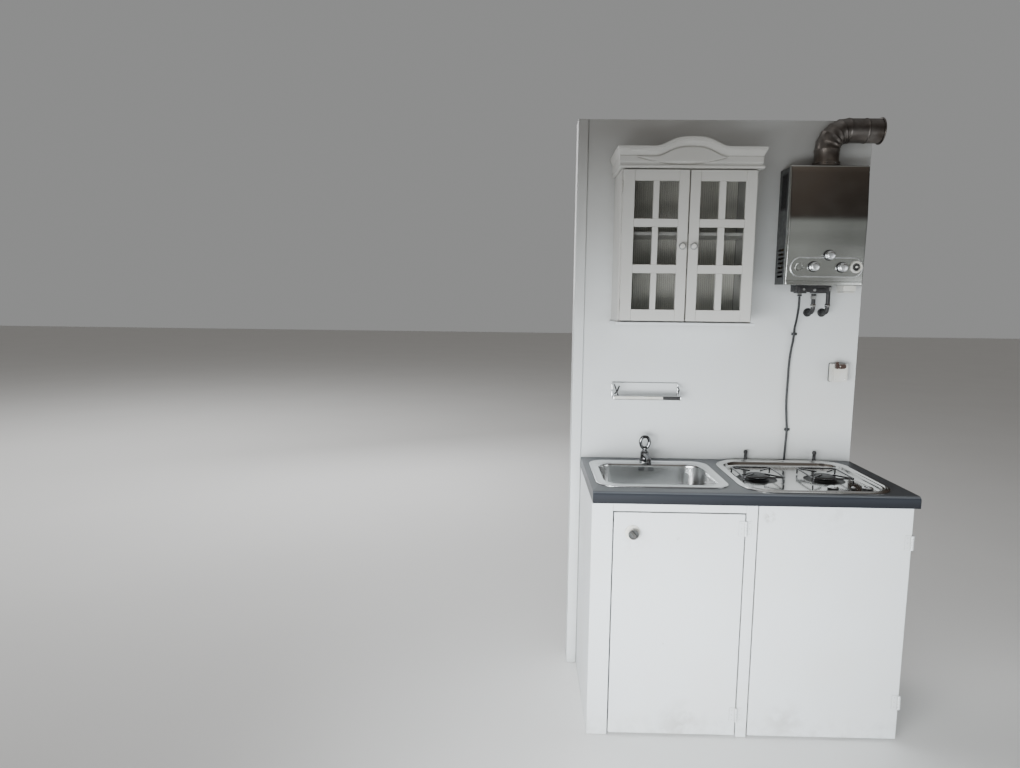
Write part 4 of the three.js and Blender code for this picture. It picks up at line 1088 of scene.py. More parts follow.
hobLook = {
    "corner": 105, "wellRadius": 72, "burners": [("left", 628, 250), ("right", 874, 250)],
    "half": (76, 80), "wire": 2.9, "supportTop": 893, "fingerEnd": (20, 23), "low": 880.4, "pan": 866,
    "sheet": 1.2, "teeth": 36, "toothRing": 34.2, "toothSize": (3.6, 3.4, 4.4),
    "dish": [(0, 0.0), (1.4, -0.5), (3, -2.4), (6, -4.2), (12, -5.0), (20, -4.6), (26, -3.0), (30, -1.2),
             (33, -0.6)],  # distance in from the well's edge, and height
    "cup": [(43, 0), (44, 0.8), (44, 2.2), (42, 3.4), (34, 4.4), (30, 6), (30, 7.2), (36.5, 8.4)],
    "cap": [(36.8, 12.6), (38, 13.4), (38, 14.6), (36.5, 16), (30, 17.6), (18, 18.8), (0, 19.2)],
    "plug": [(3, 0), (3, 9), (1.6, 10), (1.2, 13), (0, 13.4)],
}


def buildHobTray():
    rim = extent("hob_tray")
    top, corner, low, pan = rim.head, hobLook["corner"], hobLook["low"], hobLook["pan"]
    rolls = [  # distance in from the rim, and height
        (0.2, low), (0, low + 1.6), (0.9, low + 2.7), (3, low + 3.0), (6.5, low + 3.0), (8.6, low + 3.8),
        (10.2, top - 2.0), (11.6, top - 0.5), (13.6, top), (15.4, top - 0.5), (16.8, top - 2.0),
        (18.4, low + 4.2), (20.4, low + 3.3), (23.4, low + 3.1), (25.6, low + 2.4), (27.4, low + 0.2),
        (29.0, pan + 10), (30.6, pan + 5.4), (33.2, pan + 2.2), (37, pan + 0.6), (42, pan),
    ]
    rings = [insetRing(rim, inset, z, corner, 12) for inset, z in rolls]
    under = [[point - upward * hobLook["sheet"] * mm for point in ring] for ring in rings[3:]]
    shape = bmesh.new()
    addSkin(shape, [*rings, *reversed(under)], wrap=True)

    floor = bmesh.new()
    radius = hobLook["wellRadius"]
    loops = [insetRing(rim, rolls[-1][0] - 0.4, pan, corner, 12)]
    for _, x, d in hobLook["burners"]:
        loops.append([at(x + radius * math.cos(a), d + radius * math.sin(a), pan)
                      for a in (2 * math.pi * i / 56 for i in range(56))])
    for loop in loops:
        corners = [floor.verts.new(point) for point in loop]
        for first, second in zip(corners, corners[1:] + corners[:1]):
            floor.edges.new((first, second))
    bmesh.ops.triangle_fill(floor, edges=floor.edges, use_beauty=True, normal=(0, 0, 1))
    extruded = bmesh.ops.extrude_face_region(floor, geom=floor.faces[:])
    lowered = [v for v in extruded["geom"] if isinstance(v, bmesh.types.BMVert)]
    bmesh.ops.translate(floor, verts=lowered, vec=(0, 0, -hobLook["sheet"] * mm))
    absorb(shape, floor)
    dish = [(radius - inset, height) for inset, height in hobLook["dish"]]
    below = [(r, height - hobLook["sheet"]) for r, height in reversed(dish)]
    for _, x, d in hobLook["burners"]:
        addTurned(shape, [*below, *dish], at(x, d, pan), sides=56, tone=1)
    makePiece("hobTray", shape, "traySteel", "blackIron", stands=("hob_tray",), angle=40)


def buildBurners():
    foot = extent("burner_left").foot
    for side, x, d in hobLook["burners"]:
        shape = bmesh.new()
        origin = at(x, d, foot)
        addTurned(shape, hobLook["cup"], origin, sides=56)
        addTurned(shape, hobLook["cap"], origin, sides=56)
        addTurned(shape, [(32.5, 8), (32.5, 13)], origin)
        addTurned(shape, hobLook["plug"], at(x + 40, d - 12, foot), sides=16)
        makePiece(f"burner{side.capitalize()}", shape, "blackIron", stands=(f"burner_{side}",))
        grow(f"burnerTeeth{side.capitalize()}", bpy.data.meshes.new("spreader"), "crown", "boxSteel",
             ringRadius=hobLook["toothRing"] * mm, teeth=hobLook["teeth"],
             toothSize=[size * mm for size in hobLook["toothSize"]], centre=origin + upward * 10.5 * mm)


def buildSupports():
    foot = extent("pan_support_left").foot
    wire = hobLook["wire"]
    high = hobLook["supportTop"] - wire
    hx, hd = (half - wire for half in hobLook["half"])
    for side, x, d in hobLook["burners"]:
        middle = (x, d - hd)
        loop = [middle, (x + hx, d - hd), (x + hx, d + hd), (x - hx, d + hd), (x - hx, d - hd), middle]
        runs = [[at(a, b, high) for a, b in loop]]
        for sx in (-1, 1):
            for sd in (-1, 1):
                corner = (x + sx * (hx - 2), d + sd * (hd - 3))
                inner = (x + sx * hobLook["fingerEnd"][0], d + sd * hobLook["fingerEnd"][1])
                runs.append([at(*corner, foot + wire), at(*corner, high), at(*inner, high)])
        grow(f"panSupport{side.capitalize()}", wireMesh(runs), "wires", "darkReflectionChrome",
             stands=(f"pan_support_{side}",), wireRadius=wire * mm, bendRadius=9 * mm, sides=12)


hobControls = {
    "outline": (804, 971, 402, 448), "corner": 20, "middle": 425,
    "knobs": ((829, 19.5), (899, 9), (947, 19.5)),
    "pegs": (("left", 655), ("right", 927)),
    "peg": [(7.6, 3), (7.6, 6), (6.4, 8), (6, 12), (5.8, 24), (6.2, 27), (7.6, 29.6), (8, 33.5), (7.6, 37),
            (5.6, 40.4), (2.8, 41.8), (0, 42)],
}


def buildControls():
    foot = extent("hob_controls").foot
    middle = hobControls["middle"]
    shape = bmesh.new()
    outline = [at(x, d, foot) for x, d in roundedOutline(*hobControls["outline"], hobControls["corner"], 7)]
    addPrism(shape, outline, upward * 2 * mm, 0.8, 3)
    for x, radius in hobControls["knobs"]:
        origin = at(x, middle, foot + 2)
        skirt = [(radius, 0), (radius, 2), (radius - 1.2, 3.4), (radius - 1.6, 15.2), (radius - 2.2, 16.2)]
        addTurned(shape, skirt, origin, sides=48, tone=1, flutes=16, fluteDepth=0.5)
        cap = radius - 1.2
        dome = [(cap - 0.6, 16), (cap - 0.2, 16.8), (cap - 1.4, 18), (cap - 3.6, 19.2),
                (cap - 6.4, 19.8), (0, 20)]
        addTurned(shape, dome, origin, sides=48, tone=2)
        if radius > 10:
            across, along = (x - 2.2, x + 2.2), (middle - 12.5, middle + 12.5)
            addBar(shape, across, along, (foot + 21, foot + 24), 0.8, 3, tone=2)
    makePiece("hobControls", shape, "traySteel", "blackIron", "polishedChrome", stands=("hob_controls",))
    for side, x in hobControls["pegs"]:
        foot = extent(f"lid_peg_{side}").foot
        shape = bmesh.new()
        addBar(shape, (x - 14, x + 14), (21, 29.7), (foot, foot + 4), 1.2, 3, tone=1)
        addTurned(shape, hobControls["peg"], at(x, 25.4, foot), sides=28)
        makePiece(f"lidPeg{side.capitalize()}", shape, "blackIron", "sinkSteel", stands=(f"lid_peg_{side}",))
    print("hob made")


# Wall cabinet: arched cornice and glazed doors

crown = {
    "left": 86, "right": 610, "foot": 1992.3, "head": 2053, "front": 235, "back": 190,
    "rise": 33, "flare": 10, "fullness": 1.5, "arch": (218, 478),
    "columns": 210, "rows": 50, "relief": 4.5, "groove": 1.6,
    "smile": (126, 504, 1995, 31),
    "profile": [  # distance below the top edge, distance out from the wall
        (0, 235), (7.5, 235), (9.2, 234.4), (10.4, 232.0), (12.5, 231.6), (15, 229.0), (18, 226.0),
        (21.5, 223.4), (24.5, 221.8), (26, 219.6), (27.4, 219.2), (28.6, 217.6), (30.2, 217.6),
        (31.2, 219.0), (33, 219.2), (36, 218.4),
    ],
}


def stepped(value, low, high):
    share = min(max((value - low) / (high - low), 0), 1)
    return share * share * (3 - 2 * share)


def archTop(x):
    low, high = crown["arch"]
    away = abs(x - (low + high) / 2) / ((high - low) / 2)
    if away >= 1:
        return crown["head"]
    return crown["head"] + crown["rise"] * (1 + math.cos(math.pi * away ** crown["fullness"])) / 2


def crownDepth(x, below, z):
    # how far out the front of the cornice stands
    profile = crown["profile"]
    depth = profile[-1][1]
    for (b0, d0), (b1, d1) in zip(profile, profile[1:]):
        if b0 <= below <= b1:
            depth = d0 + (d1 - d0) * (below - b0) / (b1 - b0)
    aboveFoot = z - crown["foot"]
    if aboveFoot < 12 and below > 30:
        depth = min(depth, 214.6 + 3.6 * stepped(aboveFoot, 6, 11))
    left, right, lowest, lift = crown["smile"]
    share = (x - (left + right) / 2) / ((right - left) / 2)
    if abs(share) < 1:
        smile = lowest + lift * share * share
        ends = stepped(1 - abs(share), 0.0, 0.05)
        depth += crown["relief"] * stepped(z, smile, smile + 2.2) * stepped(below, 31, 35) * ends
        pressed = 1 - stepped(abs(z - smile + 0.6), 0.4, 1.8)
        depth -= crown["groove"] * ends * pressed * stepped(below, 31, 34)
    return depth


def leaning(depth):
    # how far the ends of the moulding lean in below its crown
    return crown["flare"] * (crown["front"] - depth) / 21


def drawnIn(x, flare):
    middle = (crown["left"] + crown["right"]) / 2
    half = (crown["right"] - crown["left"]) / 2
    return middle + (x - middle) * (half - flare) / half


def buildCabinetBack():
    panel = extent("cabinet_back")
    wide = panel.right - panel.left
    reeds = round(wide / 8)
    pitch = wide / reeds
    outline = [(panel.left, panel.back), (panel.right, panel.back)]
    for i in range(reeds, 0, -1):
        x = panel.left + i * pitch
        outline += [(x, panel.front - 1.3), (x - 1.0, panel.front - 0.2), (x - pitch / 2, panel.front),
                    (x - pitch + 1.0, panel.front - 0.2)]
    outline.append((panel.left, panel.front - 1.3))
    shape = bmesh.new()
    addPrism(shape, [at(x, d, panel.foot) for x, d in outline], upward * (panel.head - panel.foot) * mm)
    makePiece("cabinetBack", shape, "cabinetLining", stands=("cabinet_back",), angle=45)


def buildCornice():
    left, right, foot, back, flare = (crown[key] for key in ("left", "right", "foot", "back", "flare"))
    bands = [band for band, _ in crown["profile"]]
    rings = []
    for i in range(crown["columns"] + 1):
        x = left + (right - left) * i / crown["columns"]
        top = archTop(x)
        frieze = top - bands[-1] - foot
        heights = [top - band for band in bands]
        heights += [top - bands[-1] - frieze * row / crown["rows"] for row in range(1, crown["rows"] + 1)]
        ring = []
        for z in heights:
            depth = crownDepth(x, top - z, z)
            ring.append(at(drawnIn(x, leaning(depth)), depth, z))
        rings.append([*ring, at(drawnIn(x, flare), back, foot), at(x, back, top)])
    shape = bmesh.new()
    addSkin(shape, rings)
    for edge, inward in ((left, 1), (right, -1)):
        outline = [(leaning(depth), crown["head"] - band) for band, depth in crown["profile"]]
        outline += [(flare - 2, foot + 11), (flare - 0.4, foot + 6), (flare, foot)]
        outline += [(26, foot), (26, crown["head"])]
        ring = [at(edge + inward * aside, 0.3, z) for aside, z in outline]
        addPrism(shape, ring, outward * (back + 3.4) * mm)
    makePiece("cabinetCornice", shape, "cabinetPaint", stands=("cabinet_cornice",), angle=38)


cabinetDoors = [  # side, stiles' outer edges, columns of panes, knob's x, hinge's x
    ("left", (112, 346.5), [(152, 220), (240, 311)], 327, 108.5),
    ("right", (351.5, 587), [(387, 455), (478, 549)], 368, 590.5),
]
paneRows = [(1480, 1612), (1642, 1777), (1805, 1939)]
doorLook = {
    "back": 190, "front": 208, "foot": 1439, "head": 1977, "bead": 0.7, "knobHeight": 1708,
    "hinges": [(1475, 1515), (1900, 1940)], "hingeMiddle": 194,
    "knob": [(8, 0), (8.2, 1.2), (6.6, 2.4), (5.4, 5.4), (6, 8), (10.4, 10.4), (12, 13), (11.7, 15.4),
             (9.6, 17.6), (7.8, 18.2), (6.6, 17.4), (3.5, 18.4), (0, 18.8)],
    "knobRing": [(8.6, 17.4), (10.4, 16.9), (12.1, 14.9), (12.1, 13.2), (12.6, 13.2), (12.6, 15.2),
                 (10.8, 17.7), (8.8, 18.3)],
}


def addBead(shape, x, z, near, far, size):
    # a mitred quarter-round round one pane
    section = [(0, near), (size * 0.5, near - 0.6), (size * 0.9, near - 1.8), (size, near - 3),
               (size, far), (0, far)]
    corners = [(x[0], z[0], 1, 1), (x[1], z[0], -1, 1), (x[1], z[1], -1, -1), (x[0], z[1], 1, -1)]
    rings = [
        [at(cx + sx * inset, depth, cz + sz * inset) for inset, depth in section]
        for cx, cz, sx, sz in corners
    ]
    addSkin(shape, rings, wrap=True)


def addCabinetHinge(shape, axis, span, edge):
    middle = doorLook["hingeMiddle"]
    for moving in (True, False):
        addKnuckles(shape, axis, middle, span, 3.0, 3, moving)
    for tip in (span[0] - 1, span[1] + 1):
        addTurned(shape, [(0, -1.5), (2, -1), (2.4, 0), (2, 1), (0, 1.5)], at(axis, middle, tip), sides=16)
    addBar(shape, sorted((axis, edge)), (middle - 1, middle + 1), span, 0.3)


def buildCabinetDoors():
    back, front, foot, head = (doorLook[key] for key in ("back", "front", "foot", "head"))
    gap = 0.15
    rails = list(zip([foot, *(high for _, high in paneRows)], [*(low for low, _ in paneRows), head]))
    for side, (x0, x1), columns, knobX, axis in cabinetDoors:
        body = f"cabinet_door_{side}"
        (a0, a1), (b0, b1) = columns
        shape = bmesh.new()
        for x in ((x0, a0), (b1, x1)):
            addBar(shape, x, (back, front), (foot, head), 1.5, 3)
        for z in rails:
            addBar(shape, (a0 + gap, b1 - gap), (back, front), z, 1.0, 3)
        for z in paneRows:
            addBar(shape, (a1, b0), (back + 0.4, front - 0.4), (z[0] + gap, z[1] - gap), 1.0, 3)
            for x in columns:
                addBead(shape, x, z, front - 2.5, back + 8.6, doorLook["bead"])
        for span in doorLook["hinges"]:
            addCabinetHinge(shape, axis, span, x0 + 1.5 if side == "left" else x1 - 1.5)
        makePiece(f"cabinetDoor{side.capitalize()}", shape, "cabinetPaint", body=body,
                  stands=(f"{body}_frame",), weigh=True)

        shape = bmesh.new()
        tall = (paneRows[0][0] - 6, paneRows[-1][1] + 6)
        addBar(shape, (a0 - 6, b1 + 6), (back + 5.5, back + 8.5), tall, 0.4, 1)
        makePiece(f"cabinetGlass{side.capitalize()}", shape, "windowGlass", body=body,
                  stands=(f"{body}_glass",))

        shape = bmesh.new()
        foundation = at(knobX, front + 0.3, doorLook["knobHeight"])
        addTurned(shape, doorLook["knob"], foundation, outward, 36)
        addTurned(shape, doorLook["knobRing"], foundation, outward, 36, tone=1, ring=True)
        makePiece(f"cabinetKnob{side.capitalize()}", shape, "whitePlastic", "boxSteel", body=body,
                  stands=(f"{body}_knob",))
    print("wall cabinet made")


# Water heater: folded cover, slotted case, controls, valve

cover = {
    "left": 737, "right": 1027, "foot": 1577, "head": 2014, "crease": 1822, "lip": 116, "ridge": 125,
    "crown": 113, "back": 100.3, "fold": 7, "edge": 5, "sheet": 1.4, "bend": 14,
    "wave": (1714, 1782, 0.85), "line": [(1590.6, 0), (1591.8, 1.1), (1593.4, 1.1), (1594.6, 0)],
}
controls = {
    "plate": (754, 1020, 1609, 1679), "bead": 2.3,
    "knobs": [(838, 1646), (893, 1688), (943, 1644)], "gauge": (996, 1646), "eye": (785, 1645),
    "seat": [(20, 0), (20, 1.4), (18.6, 3)],
    "knob": [(17, 3), (17, 4), (16.2, 18), (15.4, 20.4), (13.4, 22.2), (9, 23), (0, 23.2)],
    "rim": [(22.4, 0), (23, 1), (23, 4.5), (22, 7), (20, 8.6), (17.6, 8.8), (15.6, 7.4), (14.4, 5),
            (14, 3.4)],
    "ticks": (11, -40, 26, 11.4),  # how many, first angle, degrees apart, radius
    "eyeRim": [(15, 0), (15, 1.2), (13.8, 2.2), (12.4, 1.8), (11.8, 0.8)],
}
lowerLean = (cover["ridge"] - cover["lip"]) / (cover["crease"] - cover["foot"])
upperLean = (cover["crown"] - cover["ridge"]) / (cover["head"] - cover["crease"])


def coverFront(z):
    # two slopes that run into each other over a soft bend, and a slight wave in the lower one
    away = z - cover["crease"]
    bend = cover["bend"]
    low, high, depth = cover["wave"]
    along = min((z - cover["foot"]) / (cover["crease"] - cover["foot"]), 1)
    base = cover["ridge"] + depth * (along - stepped(z, low, high))
    if abs(away) >= bend:
        return base + away * (lowerLean if away < 0 else upperLean)
    bent = (upperLean - lowerLean) * (away ** 2 + bend ** 2) / (4 * bend)
    return base + away * (lowerLean + upperLean) / 2 + bent


def coverPath(z, front, inset):
    fold = cover["fold"] - inset
    left, right = cover["left"] + inset, cover["right"] - inset
    path = [at(left, cover["back"], z)]
    for centre, start in ((left + fold, 180), (right - fold, 90)):
        for i in range(7):
            angle = math.radians(start - 90 * i / 6)
            x = centre + fold * math.cos(angle)
            path.append(at(x, front - inset - fold + fold * math.sin(angle), z))
    path.append(at(right, cover["back"], z))
    return path


def buildCover():
    edge, foot, head, crease, sheet = (cover[key] for key in ("edge", "foot", "head", "crease", "sheet"))
    rounding = [
        (edge * (1 - math.cos(a)), edge * (1 - math.sin(a)))
        for a in (math.radians(15 * i) for i in range(7))
    ]
    levels = [(foot + rise, back) for rise, back in rounding]
    levels += [(1586, 0), *cover["line"]]
    levels += [(z, 0) for z in (1650, 1700, *range(1714, 1790, 8))]
    levels += [(crease + away, 0) for away in (-18, -14, -10, -6, -2, 2, 6, 10, 14, 18)]
    levels += [(z, 0) for z in (1880, 1940, 1990)]
    levels += [(head - drop, back) for drop, back in reversed(rounding)]
    rings = []
    for z, back in levels:
        front = coverFront(z) - back
        inner = coverPath(min(max(z, foot + 1), head - 1), front, sheet)
        rings.append([*coverPath(z, front, 0), *reversed(inner)])
    shape = bmesh.new()
    addSkin(shape, rings)
    for z, height in ((foot, foot + 0.2), (head - 1.4, head - 0.2)):
        addPrism(shape, coverPath(height, coverFront(z) - edge, 0.2), upward * 1.2 * mm)
    makePiece("heaterCover", shape, "coverSteel", stands=("heater_cover",), angle=30)


coverNormal = Vector((0, -1, -lowerLean)).normalized()  # of the lower half


def onCover(x, z, rise):
    return at(x, coverFront(z), z) + coverNormal * rise * mm


def buildHeaterControls():
    left, right, low, high = controls["plate"]
    normal = coverNormal
    shape = bmesh.new()
    plate = [onCover(x, z, 0.1) for x, z in roundedOutline(left + 2, right - 2, low + 2, high - 2, 32, 14)]
    addPrism(shape, plate, normal * mm, tone=1)
    bead = [
        onCover(x, z, 1.2) for x, z in roundedOutline(left, right, low, high, (high - low) / 2 - 0.5, 14)
    ]
    addSweep(shape, bead, controls["bead"], sides=12, closed=True, side=normal)
    for x, z in controls["knobs"]:
        origin = onCover(x, z, 1)
        addTurned(shape, controls["seat"], origin, normal, 48, tone=2)
        addTurned(shape, controls["knob"], origin, normal, 64, flutes=20, fluteDepth=0.5)
        addTurned(shape, [(1.6, 0), (1.6, 0.4)], onCover(x, z, 24.1) + upward * 11 * mm, normal, 12, tone=2)
    origin = onCover(*controls["gauge"], 1)
    addTurned(shape, controls["rim"], origin, normal, 56, tone=3)
    addTurned(shape, [(13.8, 3.4), (13.8, 3.9)], origin, normal, 48, tone=2)
    turn = upward.rotation_difference(normal).to_matrix()
    count, first, apart, radius = controls["ticks"]
    for i in range(count):
        angle = math.radians(first + apart * i)
        spot = origin + turn @ Vector((radius * math.cos(angle), radius * math.sin(angle), 4.0)) * mm
        addTurned(shape, [(0.7, 0), (0.7, 0.3)], spot, normal, 8, tone=3)
    needle = [
        origin + turn @ Vector((a, b, 4.3)) * mm
        for a, b in ((-2, -0.8), (9.5, -0.3), (9.5, 0.3), (-2, 0.8))
    ]
    addPrism(shape, needle, normal * 0.5 * mm, tone=3)
    addTurned(shape, [(4.4, 4), (4.2, 6), (3, 7), (0, 7.4)], origin, normal, 24, tone=3)
    origin = onCover(*controls["eye"], 1)
    addTurned(shape, controls["eyeRim"], origin, normal, 40, tone=1)
    addTurned(shape, [(7, 0.8), (6.6, 1.8), (0, 2)], origin, normal, 28, tone=1)
    makePiece("heaterControls", shape, "satinKnob", "coverSteel", "blackIron", "whitePlastic",
              stands=("heater_controls",), angle=32)


vents = {
    "panel": (26, 82, 1856, 1996),  # d and z
    "slats": 7, "slatStep": -7.4, "slatSize": (1.2, 3.2, 126), "slatTurn": 25, "slatPlace": (32, 1926),
    "hoodStep": 16.5, "hoodSize": (2.2, 54, 2.0), "hoodTurn": 35, "hoodPlace": (51, 1615.4),
}
valveBlocks = [  # x, d, z (None where it reaches the valve's head) and edge
    ((790, 918), (34, 88), (1552, None), 2.5),
    ((800, 832), (40, 92), (1547, 1572), 3),
    ((862, 908), (40, 90), (1548, 1568), 3),
]
valveFittings = [  # profile, place, axis, sides, tone
    ([(8.6, 0), (9, 1), (9, 5), (8, 6)], (815, 66, 1536), upward, 6, 1),
    ([(8.6, 0), (9, 1), (9, 9), (8, 10)], (815, 66, 1542), upward, 6, 2),
    ([(10, 0), (10, 4), (7, 6)], (815, 66, 1550), upward, 28, 2),
    ([(6.5, 0), (6.5, 4), (5, 6)], (820, 86, 1562), outward, 6, 2),
    ([(6, 0), (6, 5), (4.4, 7)], (862, 85, 1560), outward, 24, 2),
]


def buildHeaterCase():
    dress("heater_case", "darkEnamel", 0.8)
    case = extent("heater_case")
    look = SimpleNamespace(**vents)
    shape = bmesh.new()
    for x in (case.left - 0.9, case.right - 0.2):
        ring = [at(x, d, z) for d, z in roundedOutline(*look.panel, 6, 4)]
        addPrism(shape, ring, Vector((1.1 * mm, 0, 0)), 0.4)
    makePiece("heaterSidePanels", shape, "blackIron", angle=32)
    for name, x in (("Left", case.left - 1.3), ("Right", case.right + 1.3)):
        grow(f"heaterSideSlats{name}", bpy.data.meshes.new("slats"), "slats", "blackIron", count=look.slats,
             step=(0, look.slatStep * mm, 0), slatSize=[size * mm for size in look.slatSize],
             tilt=(0, 0, math.radians(look.slatTurn)), start=at(x, *look.slatPlace))
        grow(f"heaterHoods{name}", bpy.data.meshes.new("hoods"), "slats", "darkEnamel", count=look.slats,
             step=(0, 0, look.hoodStep * mm), slatSize=[size * mm for size in look.hoodSize],
             tilt=(0, math.radians(look.hoodTurn), 0), start=at(x, *look.hoodPlace))

    shape = bmesh.new()
    for x, d, (low, high), edge in valveBlocks:
        addBar(shape, x, d, (low, high or extent("heater_valve").head), edge, 3)
    for profile, place, axis, sides, tone in valveFittings:
        addTurned(shape, profile, at(*place), axis, sides, tone)
    makePiece("heaterValve", shape, "blackIron", "blackRubber", "polishedChrome", stands=("heater_valve",))
    box = extent("heater_battery_box")
    shape = bmesh.new()
    addBar(shape, (box.left, box.right), (box.back, box.front), (box.foot + 5, box.head), 3, 3)
    addBar(
        shape, (box.left + 2, box.right - 2), (box.back + 2, box.front - 2), (box.foot, box.foot + 4.2),
        1.6, 3,
    )
    makePiece("batteryBox", shape, "whitePlastic", stands=("heater_battery_box",), weigh=True)
    print("water heater made")


# Flue, water pipes and the hose's clips

flue = {
    "x": 887, "d": 56, "radius": 44, "wall": 1.5, "start": 2011.3, "axis": 2150, "bend": 72, "end": 1080,
    "segments": 5, "swells": {0: 2.2, 1: 0.7, 5: 0.7},  # how far the steps of each segment stand out
    "clamp": [(5, 24, 3.2), (9, 13, 4.9), (18, 22, 4.9)],  # foot, head and how far out
    "wallRing": [(0.3, 0), (4.9, 0), (4.9, 1.6), (3, 4), (0.3, 4)], "screws": [(16, 47), (-18, 46.5)],
}


def buildFlue():
    x, d, radius, bend, axis = (flue[key] for key in ("x", "d", "radius", "bend", "axis"))
    rise = axis - bend
    # across, height and swell
    route = [(0, z, 0) for z in (flue["start"], flue["start"] + 26, rise - 22, rise - 12)]
    steps = 6 * flue["segments"]
    for i in range(steps + 1):
        angle = math.radians(90 * i / steps)
        swell = flue["swells"].get(i % 6, -0.3)
        route.append((bend * (1 - math.cos(angle)), rise + bend * math.sin(angle), swell))
    route += [
        (bend + reach, axis, 1.8 if reach in (63, 66) else 0) for reach in (10, 40, 60, 63, 66, 69, 100)
    ]
    route.append((flue["end"] - x, axis, 0))
    path = [at(x + across, d, z) for across, z, _ in route]
    radii = [radius + swell for _, _, swell in route]
    inner = sweepRings(path, [r - flue["wall"] - 1 for r in radii], 44)
    shape = bmesh.new()
    addSkin(shape, [*sweepRings(path, radii, 44), *reversed(inner)], wrap=True)
    for low, high, out in flue["clamp"]:
        profile = [(radius + 0.3, low), (radius + out - 0.4, low), (radius + out, low + 0.6),
                   (radius + out, high - 0.6), (radius + out - 0.4, high), (radius + 0.3, high)]
        addTurned(shape, profile, at(x, d, flue["start"]), sides=48, ring=True)
    wallRing = [(radius + out, height) for out, height in flue["wallRing"]]
    addTurned(shape, wallRing, at(flue["end"], d, axis), (-1, 0, 0), 48, ring=True)
    makePiece("fluePipe", shape, "flueSheet", stands=("flue_pipe",), angle=24)
    heads = [at(x + across, d + out, flue["start"] + 14.5) for across, out in flue["screws"]]
    screws("flueScrews", heads, radius=3.6)


pipes = {
    "d": 50, "wallHeight": 1474, "radius": 8, "runs": [("cold", 875, 1545.7), ("hot", 930, 1579.7)],
    "nut": [(11, 0), (11.8, 0.8), (11.8, 12), (11, 13)], "collar": [(10, 0), (10, 3), (9, 4.5)],
    "elbowNut": [(11, 0), (11.6, 1), (11.6, 10), (11, 11)],
    "rosette": [(16.6, 0), (17, 0.8), (16.4, 2), (13.5, 4.2), (11.6, 6)],
}


def buildPipes():
    d, low = pipes["d"], pipes["wallHeight"]
    for name, x, head in pipes["runs"]:
        shape = bmesh.new()
        path = smoothPath([at(x, *spot) for spot in (
            (d, head), (d, head - 14), (d, low + 24), (d - 4, low + 9), (d - 14, low + 1), (d - 28, low),
            (0.3, low),
        )])
        addSweep(shape, path, pipes["radius"], sides=24)
        addTurned(shape, pipes["nut"], at(x, d, head - 20), sides=6, tone=1)
        addTurned(shape, pipes["collar"], at(x, d, head - 5.5), sides=28)
        addTurned(shape, pipes["elbowNut"], at(x, d, low + 22), sides=6, tone=1)
        addTurned(shape, pipes["rosette"], at(x, 0.3, low), outward)
        makePiece(f"pipe{name.capitalize()}", shape, "blackIron", "polishedChrome", stands=(f"pipe_{name}",),
                  angle=32)


clips = {
    "places": [("upper", 824, 1389), ("lower", 818, 1007)], "centre": 10.2, "radius": 5.4,
    "foot": [(15.5, 1.2), (11, 1.2), (8.2, 2.4), (6.6, 5.0)], "tail": [(-4.6, 4.6), (-5.2, 1.2), (-7, 1.2)],
}


def buildClips():
    bow = [(clips["radius"] * math.cos(a), clips["centre"] + clips["radius"] * math.sin(a))
           for a in (math.radians(-25 + 230 * i / 14) for i in range(15))]
    section = [(-0.8, -5), (0.8, -5), (0.8, 5), (-0.8, 5)]
    for place, x, z in clips["places"]:
        path = [at(x + a, d, z) for a, d in (*clips["foot"], *bow, *clips["tail"])]
        side = upward.cross((path[1] - path[0]).normalized())
        shape = bmesh.new()
        addSweep(shape, path, 1.0, section=section, side=side)
        makePiece(f"hoseClip{place.capitalize()}", shape, "blackRubber", stands=(f"hose_clip_{place}",))
        screws(f"hoseClipScrew{place.capitalize()}", [at(x + 12.4, 2.2, z)], radius=2.8)
    print("flue, pipes and hose made")


# Wall rack and switch box

rack = {
    "left": 115, "right": 382, "depth": 66, "foot": 1126, "head": 1190, "wire": 2.0, "strip": 17, "ribs": 7,
    # labels holds the white strip, and beside it a black span that stands in for a shadow across the strip:
    # painted shadow
    "clip": 2.9, "labels": [(120, 310, 0.6, 14), (310.5, 377, 1.6, 13)],  # x, and z over the rack's foot
}


def buildRack():
    left, right = rack["left"] + 3, rack["right"] - 3
    low, high = rack["foot"] + 2, rack["head"] - 2
    near, far = rack["depth"] - 2.2, 2.4
    stripTop = rack["foot"] + rack["strip"] - 2.2
    middle = (low + high) / 2
    runs = [
        [(left, d, low), (left, d, top), (right, d, top), (right, d, low), (left + 1, d, low)]
        for d, top in ((far, high), (near, stripTop))
    ]
    runs.append([(left, 34, low), (right, 34, low)])
    for i in range(rack["ribs"]):
        x = left + (right - left) * i / (rack["ribs"] - 1)
        runs.append([(x, far, low), (x, near, low)])
    for x in (left, right):
        runs += [[(x, far, high), (x, near, stripTop)], [(x, far, middle), (x, near, low)]]
    crossed = [
        [(left + 2, 56, high - 2), (left + 5, 58, high - 12), (left + 20, 58, low + 6)],
        [(left + 22, 57, high - 8), (left + 13, 59, middle), (left + 3, 59, low + 20)],
        [(right - 12, 52, high - 8), (right - 5, 54, high - 22), (right - 10, 56, low + 22)],
    ]
    for name, bends, look, stands, radius, bend, sides in (
        ("wallRack", runs, "polishedChrome", ("wall_rack",), rack["wire"], 4, 10),
        ("rackClips", crossed, "blackIron", (), rack["clip"], 5, 12),
    ):
        mesh = wireMesh([[at(*point) for point in run] for run in bends])
        grow(
            name, mesh, "wires", look, stands=stands, wireRadius=radius * mm, bendRadius=bend * mm,
            sides=sides,
        )
    shape = bmesh.new()
    # the second span, in black, is painted shadow on the strip
    for tone, (x0, x1, z0, z1) in enumerate(rack["labels"]):
        tall = (rack["foot"] + z0, rack["foot"] + z1)
        addBar(shape, (x0, x1), (rack["depth"] - 4.2, rack["depth"] - 0.4), tall, 1.2, 3, tone)
    makePiece("rackStrip", shape, "whitePlastic", "blackIron", weigh=True)
